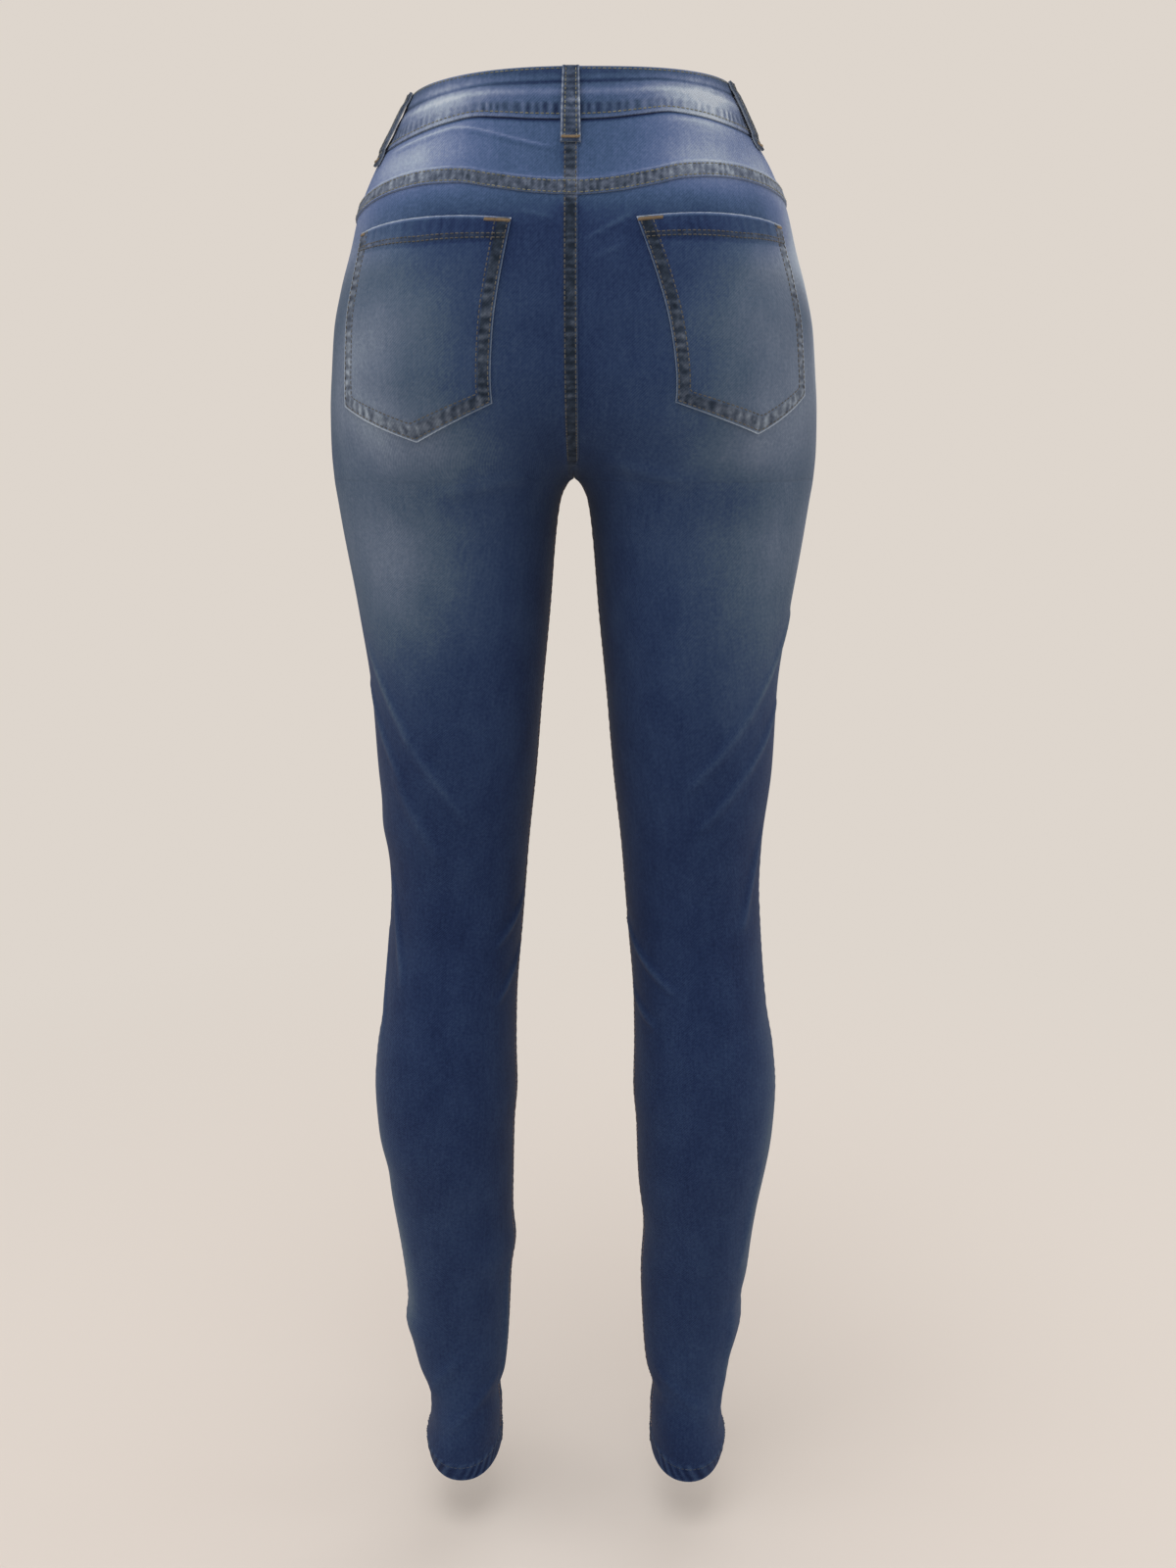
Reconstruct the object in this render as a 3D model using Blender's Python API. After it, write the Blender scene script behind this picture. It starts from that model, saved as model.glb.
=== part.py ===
"""Skinny jeans for women, as they hang on a standing figure: high waist, long slim legs, five belt loops,
two patch pockets on the seat and a closed fly.

The tables and sizes are in millimetres and the scene is in metres. +Z is up, the front faces -Y, the wearer's
left is +X, and the origin is the middle of the waist. Every piece is a wall of cloth whose points lie on one
figure: a closed ring round each leg, which opens above the crotch into half of the torso.
"""

import math
from collections import namedtuple

import bmesh
import bpy
import numpy as np

MM = 0.001
LEFT, RIGHT = 1, -1
BACK, FRONT = True, False

# Cloth and seams
CLOTH = 1.4
WAISTBAND_CLOTH = 2.4
SEAM_GAP = 0.3
LAY_GAP = 0.7
HEM_DEPTH = 13.0
HEM_STEP = 1.0
HEM_PROUD = 0.6
HEM_CLOTH = 2.4

# Level lines at the waist. back has rows of how far round it is from the centre back to the side, and the
# height there. front_centre is the height at the centre front. The jeans sit a little askew, so each line is
# higher or lower by its slant at either side.
Level = namedtuple("Level", "back front_centre left_slant right_slant")
WAIST_TOP = Level(((0.0, 28.5), (0.5, 27.5), (1.0, 26.5)), 14.0, -5.0, 2.5)
WAIST_SEAM = Level(
    ((0.0, -4.0), (0.13, -3.3), (0.25, -1.5), (0.35, 0.0), (0.45, -1.7), (0.66, -7.5), (0.85, -11.0),
     (1.0, -12.0)),
    -21.0, -4.5, 6.5,
)

# The yoke seam has rows and slants of the same kind, and lies on the back alone.
YOKE_SEAM = Level(
    ((0.0, -46.5), (0.13, -44.5), (0.25, -40.7), (0.35, -37.0), (0.45, -36.2), (0.55, -37.3), (0.65, -39.8),
     (0.8, -44.5), (1.0, -48.0)),
    None, -4.5, 6.5,
)

# The hem's height at the back, the two seams and the front
HEM = (-1003.0, -997.0, -991.0)
CROTCH = -225.0
TOP_CURVES_END = -62.0
HEM_CURVES_START = -900.0

# How full each section is: 2 is an ellipse, and more is squarer.
FULLNESS = 2.15

# The figure, a row for each height. side_x and inner_x are how far the side and the inner leg are from the
# centre. Above the crotch inner_x passes the centre and says how far the two halves have grown together, and
# fold is how softly they meet there. seat_x and belly_x are where the back and the front are fullest.
SECTION_COLUMNS = (
    "z", "side_x", "inner_x", "fold", "seat_x", "belly_x", "back_y", "front_y", "side_y", "inner_y"
)
SECTIONS = (
    (50, 98, -98, 30, 0, 0, 76, -82, 0, 0),
    (29, 106, -106, 30, 0, 0, 84, -86, 0, 0),
    (0, 120, -120, 30, 6, 0, 94, -91, 0, 0),
    (-24, 134, -130, 30, 20, 0, 103, -94, 1, 0),
    (-49, 144.5, -132, 30, 36, 0, 112, -96, 2, 0),
    (-75, 151, -126, 30, 50, 2, 119, -97, 3, 1),
    (-100, 158, -112, 30, 60, 10, 124, -97, 4, 2),
    (-126, 163.5, -90, 28, 68, 20, 127, -96, 4, 3),
    (-153, 166, -64, 24, 73, 34, 127, -94, 4, 4),
    (-180, 168, -34, 17, 78, 52, 123, -92, 4, 5),
    (-205, 168.5, -8, 10, 83, 70, 114, -90, 4, 6),
    (-225, 167.5, 5, 5, 86, 80, 106, -88, 4, 6),
    (-240, 165.5, 11, 5, 87, 84, 101, -87, 4, 7),
    (-262, 162.5, 14, 5, 87, 85, 95, -87, 4, 7),
    (-318, 154, 18.5, 5, 86, 84, 87, -85, 3, 7),
    (-375, 147, 24, 5, 85, 83, 78, -82, 1, 5),
    (-434, 145, 29, 5, 86, 85, 69, -78, -2, 2),
    (-494, 139.5, 35.5, 5, 87, 86, 59, -73, -5, -3),
    (-524, 138.5, 38, 5, 88, 87, 55, -69, -5, -4),
    (-555, 140, 40.5, 5, 89, 89, 54, -64, -4, -3),
    (-618, 145.5, 45.5, 5, 95, 93, 61, -55, 2, 1),
    (-651, 151, 46, 5, 98, 95, 65, -51, 6, 5),
    (-683, 153.5, 45.5, 5, 99, 96, 66, -48, 8, 7),
    (-716, 152, 48, 5, 99, 96, 65, -45, 9, 8),
    (-783, 142.5, 50, 5, 96, 94, 56, -41, 7, 7),
    (-852, 134.5, 52.5, 5, 93, 92, 47, -38, 5, 4),
    (-900, 131, 55, 5, 92, 91, 43, -37, 4, 3),
    (-922, 127, 57, 5, 92, 91, 43, -38, 3, 3),
    (-945, 119.5, 60.5, 5, 90, 90, 45, -40, 3, 3),
    (-965, 117.5, 61, 5, 90, 90, 48, -42, 4, 4),
    (-995, 122, 61.5, 5, 92, 92, 51, -43, 5, 5),
    (-1020, 122, 61.5, 5, 92, 92, 51, -43, 5, 5),
)


def column(name):
    """One column of the section table, lowest row first."""
    at = SECTION_COLUMNS.index(name)
    return np.array([row[at] for row in reversed(SECTIONS)], float)


def smooth(known_at, known, at):
    """A curve through the known values that turns only where they do, so it never swings past one."""
    step = np.diff(known_at)
    rise = np.diff(known) / step
    slope = np.zeros(len(known))
    slope[0], slope[-1] = rise[0], rise[-1]
    steady = rise[:-1] * rise[1:] > 0
    slope[1:-1][steady] = 2 * (rise[:-1] * rise[1:])[steady] / (rise[:-1] + rise[1:])[steady]
    i = np.clip(np.searchsorted(known_at, at) - 1, 0, len(step) - 1)
    t = (at - known_at[i]) / step[i]
    rest = 1 - t
    return (
        known[i] * (1 + 2 * t) * rest**2
        + known[i + 1] * (3 - 2 * t) * t**2
        + step[i] * (slope[i] * t * rest**2 - slope[i + 1] * rest * t**2)
    )


def ease(t):
    """0 to 1 with a soft start and end."""
    t = np.clip(t, 0, 1)
    return t * t * (3 - 2 * t)


ARC_STEPS = np.linspace(0, 1, 36)


def outline(z, back):
    """The left half's outline at the heights z, from the centre line or inseam round the back or the front to
    the side seam, and its direction at each point."""
    heights = column("z")
    row = {name: smooth(heights, column(name), z)[:, None] for name in SECTION_COLUMNS[1:]}
    fold = row["fold"]
    apex = np.hypot(row["seat_x"] if back else row["belly_x"], fold)
    reach = row["back_y"] if back else row["front_y"]
    side = np.hypot(row["side_x"], fold)
    power = 2 / FULLNESS
    wide = apex - row["inner_x"]
    whole = apex - np.maximum(fold, row["inner_x"])
    start = np.arccos(np.clip(whole / wide, 0, 1) ** (1 / power))
    turn = start + (math.pi / 2 - start) * ARC_STEPS**2
    inner_x = apex - wide * np.clip(np.cos(turn), 0, 1) ** power
    inner_y = row["inner_y"] + (reach - row["inner_y"]) * np.sin(turn) ** power
    turn = math.pi / 2 * (1 - ARC_STEPS[1:])
    outer_x = apex + (side - apex) * np.clip(np.cos(turn), 0, 1) ** power
    outer_y = row["side_y"] + (reach - row["side_y"]) * np.sin(turn) ** power
    folded = np.concatenate([inner_x, outer_x], axis=1)
    y = np.concatenate([inner_y, outer_y], axis=1)
    points = np.stack([np.sqrt(np.maximum(folded**2 - fold**2, 0)), y], axis=2)
    way = np.gradient(points, axis=1)
    sense = 1.0 if back else -1.0
    way[:, -1] = (0, -sense)
    way[:, 0] = (0, sense)
    way[(row["inner_x"] < fold)[:, 0], 0] = (1, 0)
    way[np.linalg.norm(way, axis=2) < 1e-6] = (1, 0)
    way /= np.linalg.norm(way, axis=2, keepdims=True)
    return points, way


def arc_lengths(points):
    steps = np.linalg.norm(np.diff(points, axis=1), axis=2)
    return np.concatenate([np.zeros((len(points), 1)), np.cumsum(steps, axis=1)], axis=1)


def half_girth(z, back):
    """How far it is round the back or the front of one half."""
    z = np.asarray(z, float)
    return arc_lengths(outline(z.ravel(), back)[0])[:, -1].reshape(z.shape)


# Between these heights the way round grows long at once, where the two halves part at the crotch. GATHERS
# keeps that growth close to the centre line, so that the panels' columns run straight past it.
PARTING = (-262.0, -190.0)
GATHERS = 6


def on_arc(z, share, back):
    """Points this share of the way round from the centre line or inseam to the side seam, and the outline's
    direction there."""
    points, way = outline(z, back)
    lengths = arc_lengths(points)
    total = lengths[:, -1]
    inward = 1 - share
    parting = (z > PARTING[0]) & (z < PARTING[1])
    even = np.where(parting, np.interp(z, PARTING, half_girth(PARTING, back)), total)
    wanted = total - even * inward - (total - even) * inward**GATHERS
    i = np.clip((lengths < wanted[:, None]).sum(axis=1) - 1, 0, points.shape[1] - 2)
    rows = np.arange(len(z))
    step = np.maximum(lengths[rows, i + 1] - lengths[rows, i], 1e-9)
    t = ((wanted - lengths[rows, i]) / step)[:, None]
    flat = points[rows, i] * (1 - t) + points[rows, i + 1] * t
    along = way[rows, i] * (1 - t) + way[rows, i + 1] * t
    return np.column_stack([flat, z]), along


NORMAL_STEP = 1.0


def on_figure(side, back, z, share, lift=0.0):
    """Points of the figure in millimetres, moved out by lift. A share below 0 lies past the centre line."""
    z, share, lift = np.broadcast_arrays(np.asarray(z, float), share, lift)
    shape = z.shape
    z, share, lift = z.ravel(), share.ravel(), lift.ravel()
    crossed = np.where(share < 0, -1, 1)
    point, along = on_arc(z, np.abs(share), back)
    above = on_arc(z + NORMAL_STEP, np.abs(share), back)[0]
    below = on_arc(z - NORMAL_STEP, np.abs(share), back)[0]
    round_it = np.column_stack([along, np.zeros(len(z))])
    normal = np.cross(round_it, above - below) * (-1 if back else 1)
    normal /= np.linalg.norm(normal, axis=1)[:, None]
    point = point + normal * (lift + relief(side * crossed, back, z, np.abs(share)))[:, None]
    point[:, 0] += lean(side * crossed, z, np.abs(share))
    point[:, 0] *= side * crossed
    return point.reshape(shape + (3,))


# The largest folds, each a soft ridge from one place to another: leg, back or front, then height and share of
# the way round at both ends, its half width and how far it stands out.
FOLD_COLUMNS = ("leg", "back", "from_z", "from_share", "to_z", "to_share", "width", "height")
FOLDS = (
    (LEFT, BACK, -341, 0.80, -458, 0.45, 12, 2.0),
    (LEFT, BACK, -372, 0.86, -440, 0.66, 12, 2.0),
    (LEFT, BACK, -520, 0.82, -590, 0.72, 12, 2.2),
    (LEFT, BACK, -533, 0.08, -556, 0.25, 11, 2.2),
    (LEFT, BACK, -575, 0.05, -602, 0.22, 11, 2.2),
    (LEFT, BACK, -830, 0.12, -938, 0.10, 11, 2.4),
    (RIGHT, BACK, -322, 0.90, -386, 0.68, 12, 2.0),
    (RIGHT, BACK, -386, 0.68, -432, 0.49, 12, 1.8),
    (RIGHT, BACK, -384, 0.86, -462, 0.52, 12, 2.0),
    (RIGHT, BACK, -480, 0.82, -545, 0.72, 12, 2.4),
    (RIGHT, BACK, -552, 0.05, -590, 0.36, 11, 2.4),
    (RIGHT, BACK, -606, 0.05, -618, 0.22, 11, 2.0),
    (RIGHT, BACK, -738, 0.78, -820, 0.78, 13, 2.0),
    (RIGHT, BACK, -860, 0.76, -960, 0.80, 11, 2.0),
    (LEFT, FRONT, -498, 0.85, -530, 0.45, 12, 2.0),
    (LEFT, FRONT, -462, 0.12, -505, 0.40, 12, 1.8),
    (LEFT, FRONT, -262, 0.10, -228, 0.45, 12, 1.8),
    (RIGHT, FRONT, -515, 0.82, -542, 0.42, 12, 2.0),
    (RIGHT, FRONT, -478, 0.10, -512, 0.42, 12, 1.8),
    (RIGHT, FRONT, -268, 0.12, -232, 0.50, 12, 1.8),
)
FOLDS_FADE_AT_SEAMS = 0.06


def relief(leg, back, z, share):
    """How far the folds stand out of the figure."""
    total = np.zeros(len(z))
    for values in FOLDS:
        fold = dict(zip(FOLD_COLUMNS, values))
        if fold["back"] != back:
            continue
        start = np.array([fold["from_z"], fold["from_share"]], float)
        end = np.array([fold["to_z"], fold["to_share"]], float)
        scale = np.array([1.0, half_girth(np.array([(start[0] + end[0]) / 2]), back)[0]])
        run = (end - start) * scale
        away = (np.column_stack([z, share]) - start) * scale
        near = np.clip(away @ run / (run @ run), 0, 1)
        off = np.linalg.norm(away - near[:, None] * run, axis=1) / fold["width"]
        total += np.where(leg == fold["leg"], fold["height"] * np.exp(-2.8 * off**2), 0)
    return total * ease(np.minimum(share, 1 - share) / FOLDS_FADE_AT_SEAMS)


# Where the lower legs are fuller or slimmer than each other: leg, height, half height, and how far the side
# and the inseam stand further out.
LEAN_COLUMNS = ("leg", "z", "tall", "side", "inseam")
LEANS = (
    (LEFT, -478, 28, 2.4, 0.0),
    (LEFT, -748, 30, -2.0, 0.0),
    (LEFT, -815, 30, 0.0, 3.0),
    (LEFT, -885, 22, 3.4, 0.0),
    (LEFT, -945, 18, -1.8, -2.0),
    (RIGHT, -800, 50, -1.0, -3.6),
    (RIGHT, -860, 25, -2.0, 0.0),
    (RIGHT, -915, 36, -4.0, 0.0),
    (RIGHT, -945, 20, 0.0, -2.2),
    (LEFT, -1004, 20, -4.0, 0.0),
    (RIGHT, -1004, 20, -4.0, 0.0),
)


def lean(leg, z, share):
    """How far out of its place each point of a lower leg leans, away from the centre."""
    outwards = ease(share)
    total = np.zeros(len(z))
    for values in LEANS:
        row = dict(zip(LEAN_COLUMNS, values))
        amount = row["side"] * outwards - row["inseam"] * (1 - outwards)
        total += np.where(leg == row["leg"], amount * np.exp(-2.8 * ((z - row["z"]) / row["tall"]) ** 2), 0)
    return total


def level_at(level, side, share, back):
    """The height of a level line this far round."""
    share = np.abs(share)
    shares, heights = np.array(level.back).T
    if back:
        z = smooth(shares, heights, share)
    else:
        z = heights[-1] + (level.front_centre - heights[-1]) * ease(1 - share)
    return z + (level.left_slant if side == LEFT else level.right_slant) * ease(share)


def hem_level(share, back):
    """The height of the hem this far round a leg."""
    return HEM[1] + (HEM[0 if back else 2] - HEM[1]) * np.sin(math.pi * share) ** 2


def rows_between(levels, top, bottom):
    """Row heights for every column: the first follows top, the last follows bottom, and the curves fade out
    over the rows between."""
    levels = np.array(levels, float)[:, None]
    from_top = ease((levels - TOP_CURVES_END) / (levels[0] - TOP_CURVES_END))
    from_bottom = ease((HEM_CURVES_START - levels) / (HEM_CURVES_START - levels[-1]))
    return levels + from_top * (top - levels[0])[None, :] + from_bottom * (bottom - levels[-1])[None, :]


def wall(name, outer, inner, finish):
    """A closed wall between two grids of points."""
    rows, columns = outer.shape[:2]
    points = np.concatenate([outer.reshape(-1, 3), inner.reshape(-1, 3)]) * MM
    number = np.arange(rows * columns * 2).reshape(2, rows, columns)
    faces = []
    for layer, ahead in ((number[0], True), (number[1], False)):
        for i in range(rows - 1):
            for j in range(columns - 1):
                face = (layer[i, j], layer[i, j + 1], layer[i + 1, j + 1], layer[i + 1, j])
                faces.append(face if ahead else face[::-1])
    edge = [(0, j) for j in range(columns)]
    edge += [(i, columns - 1) for i in range(1, rows)]
    edge += [(rows - 1, j) for j in reversed(range(columns - 1))]
    edge += [(i, 0) for i in reversed(range(1, rows - 1))]
    for (i, j), (k, l) in zip(edge, edge[1:] + edge[:1]):
        faces.append((number[0, i, j], number[1, i, j], number[1, k, l], number[0, k, l]))
    mesh = bpy.data.meshes.new(name)
    mesh.from_pydata(points.tolist(), [], [tuple(int(v) for v in face) for face in faces])
    return finish_mesh(name, mesh, finish)


def finish_mesh(name, mesh, finish):
    """An object of triangles that face outwards."""
    work = bmesh.new()
    work.from_mesh(mesh)
    bmesh.ops.recalc_face_normals(work, faces=work.faces)
    bmesh.ops.triangulate(work, faces=work.faces, quad_method="SHORT_EDGE")
    if work.calc_volume(signed=True) < 0:
        bmesh.ops.reverse_faces(work, faces=work.faces)
    work.to_mesh(mesh)
    work.free()
    mesh.shade_smooth()
    mesh.set_sharp_from_angle(angle=math.radians(40))
    mesh.materials.append(finish)
    made = bpy.data.objects.new(name, mesh)
    bpy.context.scene.collection.objects.link(made)
    return made


def sheet(name, side, back, z, share, outer_lift, thickness, finish):
    """A wall over a grid of heights and shares, its outside lifted off the figure by outer_lift."""
    outer_lift = np.broadcast_to(outer_lift, z.shape)
    outer = on_figure(side, back, z, share, outer_lift)
    inner = on_figure(side, back, z, share, outer_lift - thickness)
    return wall(name, outer, inner, finish)


def cloth(name, colour, roughness, metallic=0.0):
    material = bpy.data.materials.new(name)
    material.use_nodes = True
    surface = material.node_tree.nodes["Principled BSDF"]
    surface.inputs["Base Color"].default_value = (*colour, 1.0)
    surface.inputs["Roughness"].default_value = roughness
    surface.inputs["Metallic"].default_value = metallic
    return material


# The columns of points. On the back a pocket's side edges lie between two of them.
BACK_SHARES = {
    LEFT: np.array([0, 0.06, 0.155, 0.23, 0.325, 0.425, 0.535, 0.64, 0.73, 0.86, 1.0]),
    RIGHT: np.array([0, 0.06, 0.175, 0.285, 0.4, 0.507, 0.59, 0.67, 0.73, 0.86, 1.0]),
}
FRONT_SHARES = np.array([0, 0.06, 0.17, 0.31, 0.45, 0.55, 0.67, 0.8, 0.9, 1.0])
POCKET_LEVELS = (-78, -92, -110, -128, -146, -162)
SEAT_LEVELS = (-46, -54, -62) + POCKET_LEVELS + (-176, -189, -200, -208, -214, -219, -222.5, -224.3)
LEG_LEVELS = (
    -225.3, -227, -231, -238, -250, -268, -292, -318, -345, -370, -395, -419, -441, -462, -482, -500, -517,
    -533, -550, -568, -587, -607, -630, -656, -684, -714, -746, -778, -808, -837, -864, -890, -913, -933,
    -950, -966, -980,
)
HEM_LEVELS = (HEM[0] + HEM_DEPTH + HEM_STEP, HEM[0] + HEM_DEPTH, HEM[0])


def held_back(z, share, back):
    """The same shares with half a seam's gap left at the two edges."""
    gap = SEAM_GAP / 2 / half_girth(z, back)
    return gap + share * (1 - 2 * gap)


def leg_panel(name, side, back, finish):
    if back:
        shares = BACK_SHARES[side]
        top = level_at(YOKE_SEAM, side, shares, back) - SEAM_GAP / 2
        levels = SEAT_LEVELS
    else:
        shares = FRONT_SHARES
        top = level_at(WAIST_SEAM, side, shares, back) - SEAM_GAP / 2
        levels = (-4, -22) + SEAT_LEVELS
    z = rows_between(levels + LEG_LEVELS + HEM_LEVELS, top, hem_level(shares, back))
    in_hem = np.zeros(z.shape)
    in_hem[-2:] = 1
    thickness = CLOTH + (HEM_CLOTH - CLOTH) * in_hem
    share = held_back(z, shares[None, :], back)
    return sheet(name, side, back, z, share, HEM_PROUD * in_hem, thickness, finish)


def yoke(name, side, finish):
    shares = BACK_SHARES[side]
    low = level_at(YOKE_SEAM, side, shares, BACK) + SEAM_GAP / 2
    high = level_at(WAIST_SEAM, side, shares, BACK) - SEAM_GAP / 2
    z = high + np.linspace(0, 1, 4)[:, None] * (low - high)
    return sheet(name, side, BACK, z, held_back(z, shares[None, :], BACK), 0.0, CLOTH, finish)


# The waistband, lapped at the centre front: the left end lies over the right one.
WAISTBAND_PROUD = 0.6
LAP = 16.0
UNDER_LAP = 14.0
LAP_LIFTS_FROM = 0.31
LAP_LIFTED_AT = 0.07
BAND_ROWS = 4


def waistband(finish):
    girth = half_girth(np.array([WAIST_TOP.front_centre]), FRONT)[0]
    over = np.concatenate([[-LAP / girth, -LAP / girth / 2], FRONT_SHARES])
    under = np.concatenate([[-UNDER_LAP / girth, -UNDER_LAP / girth / 2], FRONT_SHARES])
    runs = (
        (LEFT, FRONT, over),
        (LEFT, BACK, BACK_SHARES[LEFT][-2::-1]),
        (RIGHT, BACK, BACK_SHARES[RIGHT][1:]),
        (RIGHT, FRONT, under[-2::-1]),
    )
    outer, inner = [], []
    for side, back, shares in runs:
        low = level_at(WAIST_SEAM, side, shares, back) + SEAM_GAP / 2
        high = level_at(WAIST_TOP, side, shares, back)
        z = high + np.linspace(0, 1, BAND_ROWS)[:, None] * (low - high)
        lapping = 0.0
        if side == LEFT and not back:
            near_end = ease((LAP_LIFTS_FROM - shares) / (LAP_LIFTS_FROM - LAP_LIFTED_AT))
            lapping = (WAISTBAND_CLOTH + LAY_GAP) * near_end
        lift = np.broadcast_to(WAISTBAND_PROUD + lapping, z.shape)
        outer.append(on_figure(side, back, z, shares[None, :], lift))
        inner.append(on_figure(side, back, z, shares[None, :], lift - WAISTBAND_CLOTH))
    return wall("waistband", np.concatenate(outer, axis=1), np.concatenate(inner, axis=1), finish)


# Each back pocket's corners, as how far round the back they are from the centre to the side, and their
# height. Its sides bow in from the mouth to the low corners.
CORNERS = {
    LEFT: {
        "inner_top": (0.165, -65.0),
        "outer_top": (0.69, -69.0),
        "inner_low": (0.205, -175.0),
        "outer_low": (0.65, -177.0),
        "tip": (0.425, -199.0),
    },
    RIGHT: {
        "inner_top": (0.186, -64.5),
        "outer_top": (0.69, -64.5),
        "inner_low": (0.272, -174.5),
        "outer_low": (0.685, -170.0),
        "tip": (0.507, -194.0),
    },
}
POCKET_ARCH = 3.0
POCKET_BOW = 1.8
POCKET_LOW_ROWS = (0.38, 0.73, 1.0)
# The foot of a pocket stands a little further off, because the seat turns in there.
POCKET_FOOT_LIFT = 0.5


def pocket_side(top, low, z):
    """How far round a pocket's side edge is at the heights z."""
    down = np.clip((top[1] - z) / (top[1] - low[1]), 0, 1)
    return top[0] + (low[0] - top[0]) * (1 - (1 - down) ** POCKET_BOW)


def pocket(name, side, finish):
    """A pocket on the back panel's own rows and columns, with its side edges between two columns."""
    corner = CORNERS[side]
    columns = BACK_SHARES[side]
    inside = columns[(columns > corner["inner_low"][0]) & (columns < corner["outer_low"][0])]
    shares = np.concatenate([[corner["inner_top"][0]], inside, [corner["outer_top"][0]]])
    across = (shares - shares[0]) / (shares[-1] - shares[0])
    top = corner["inner_top"][1] + (corner["outer_top"][1] - corner["inner_top"][1]) * across
    top += POCKET_ARCH * 4 * across * (1 - across)
    foot = np.array([corner["inner_low"], corner["tip"], corner["outer_low"]])
    bottom = np.interp(shares, foot[:, 0], foot[:, 1])
    last = POCKET_LEVELS[-1]
    z = [top] + [np.full(len(shares), float(level)) for level in POCKET_LEVELS]
    z = np.array(z + [last + (bottom - last) * step for step in POCKET_LOW_ROWS])
    share = np.broadcast_to(shares, z.shape).copy()
    share[:, 0] = pocket_side(corner["inner_top"], corner["inner_low"], z[:, 0])
    share[:, -1] = pocket_side(corner["outer_top"], corner["outer_low"], z[:, -1])
    lift = LAY_GAP + CLOTH + POCKET_FOOT_LIFT * ease((last - z) / (last - corner["tip"][1]))
    return sheet(name, side, BACK, z, share, lift, CLOTH, finish)


# Belt loops, each as its name, its side, back or front, how far round it is, how far it stands off and how
# far it reaches below the waist seam
LOOPS = (
    ("loop_back", LEFT, BACK, 0.0, 2.6, 15.0),
    ("loop_left", LEFT, BACK, 0.80, 1.2, 9.0),
    ("loop_right", RIGHT, BACK, 0.80, 1.2, 9.0),
    ("loop_front_left", LEFT, FRONT, 0.5, 3.0, 11.0),
    ("loop_front_right", RIGHT, FRONT, 0.5, 3.0, 11.0),
)
LOOP_WIDTH = 10.5
LOOP_CLOTH = 1.6
LOOP_ABOVE = -1.0
# How far down a loop each row is, and how much of the full distance it stands off there
LOOP_STEPS = ((0.0, 0.0), (0.1, 0.0), (0.2, 0.7), (0.4, 1.0), (0.6, 1.0), (0.78, 0.6), (0.9, 0.0), (1.0, 0.0))


def belt_loop(name, side, back, share, stands_off, below, finish):
    high = level_at(WAIST_TOP, side, share, back) + LOOP_ABOVE
    low = level_at(WAIST_SEAM, side, share, back) - below
    shares = (share + np.array([-0.5, 0, 0.5]) * LOOP_WIDTH / half_girth(np.array([high]), back)[0])[None, :]
    steps = np.array(LOOP_STEPS)
    z = (high + (low - high) * steps[:, 0])[:, None] * np.ones((1, 3))
    rests_on = np.where(z > low + below - 1, WAISTBAND_PROUD, 0.0)
    stands = rests_on + LAY_GAP + stands_off * steps[:, 1][:, None]
    return sheet(name, side, back, z, shares, stands + LOOP_CLOTH, LOOP_CLOTH, finish)


# The closed fly: a strip on the left front whose inner edge laps over the centre and whose foot curves in
FLY_OVER = -5.0
FLY_WIDTH = 38.0
FLY_FOOT = -150.0
FLY_CURVE = 34.0
FLY_FOOT_WIDTH = 8.0
FLY_CLOTH = 1.2


def fly(finish):
    across = np.linspace(0, 1, 6)[None, :]
    top = WAIST_SEAM.front_centre - 1.0
    down = np.concatenate([np.linspace(0, 0.72, 7), [0.8, 0.87, 0.93, 0.97, 1.0]])[:, None]
    z = top + (FLY_FOOT - top) * down * np.ones((1, across.size))
    foot = np.clip((FLY_FOOT + FLY_CURVE - z) / FLY_CURVE, 0, 1)
    width = FLY_FOOT_WIDTH + (FLY_WIDTH - FLY_FOOT_WIDTH) * np.sqrt(1 - foot**2)
    millimetres = FLY_OVER + across * (width - FLY_OVER)
    share = millimetres / half_girth(z, FRONT)
    return sheet("fly", LEFT, FRONT, z, share, LAY_GAP + FLY_CLOTH, FLY_CLOTH, finish)


# The button's profile, as radius and height: a domed rim on a short shank
BUTTON_PROFILE = (
    (0.0, 4.2), (4.6, 4.2), (5.4, 3.6), (6.6, 3.7), (7.6, 4.1), (8.5, 3.4), (8.3, 2.3), (5.5, 1.7),
    (4.0, 0.0), (0.0, 0.0),
)
BUTTON_SIDES = 24
BUTTON_FROM_CENTRE = 2.0


def button(finish):
    """The button, turned about the way that the waistband faces at the lap."""
    z = np.array([(WAIST_TOP.front_centre + WAIST_SEAM.front_centre) / 2])
    share = BUTTON_FROM_CENTRE / half_girth(z, FRONT)
    lift = WAISTBAND_PROUD + WAISTBAND_CLOTH + LAY_GAP + SEAM_GAP
    foot = on_figure(LEFT, FRONT, z, share, lift)[0] * MM
    out = on_figure(LEFT, FRONT, z, share, lift + 1)[0] * MM - foot
    across = np.cross((0, 0, 1), out)
    across *= MM / np.linalg.norm(across)
    work = bmesh.new()
    rim = [work.verts.new(foot + radius * across + height * out) for radius, height in BUTTON_PROFILE]
    for pair in zip(rim, rim[1:]):
        work.edges.new(pair)
    whole = {"cent": foot, "axis": out, "angle": 2 * math.pi, "steps": BUTTON_SIDES}
    bmesh.ops.spin(work, geom=work.verts[:] + work.edges[:], use_merge=True, **whole)
    bmesh.ops.remove_doubles(work, verts=work.verts, dist=0.01 * MM)
    mesh = bpy.data.meshes.new("button")
    work.to_mesh(mesh)
    work.free()
    return finish_mesh("button", mesh, finish)


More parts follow.
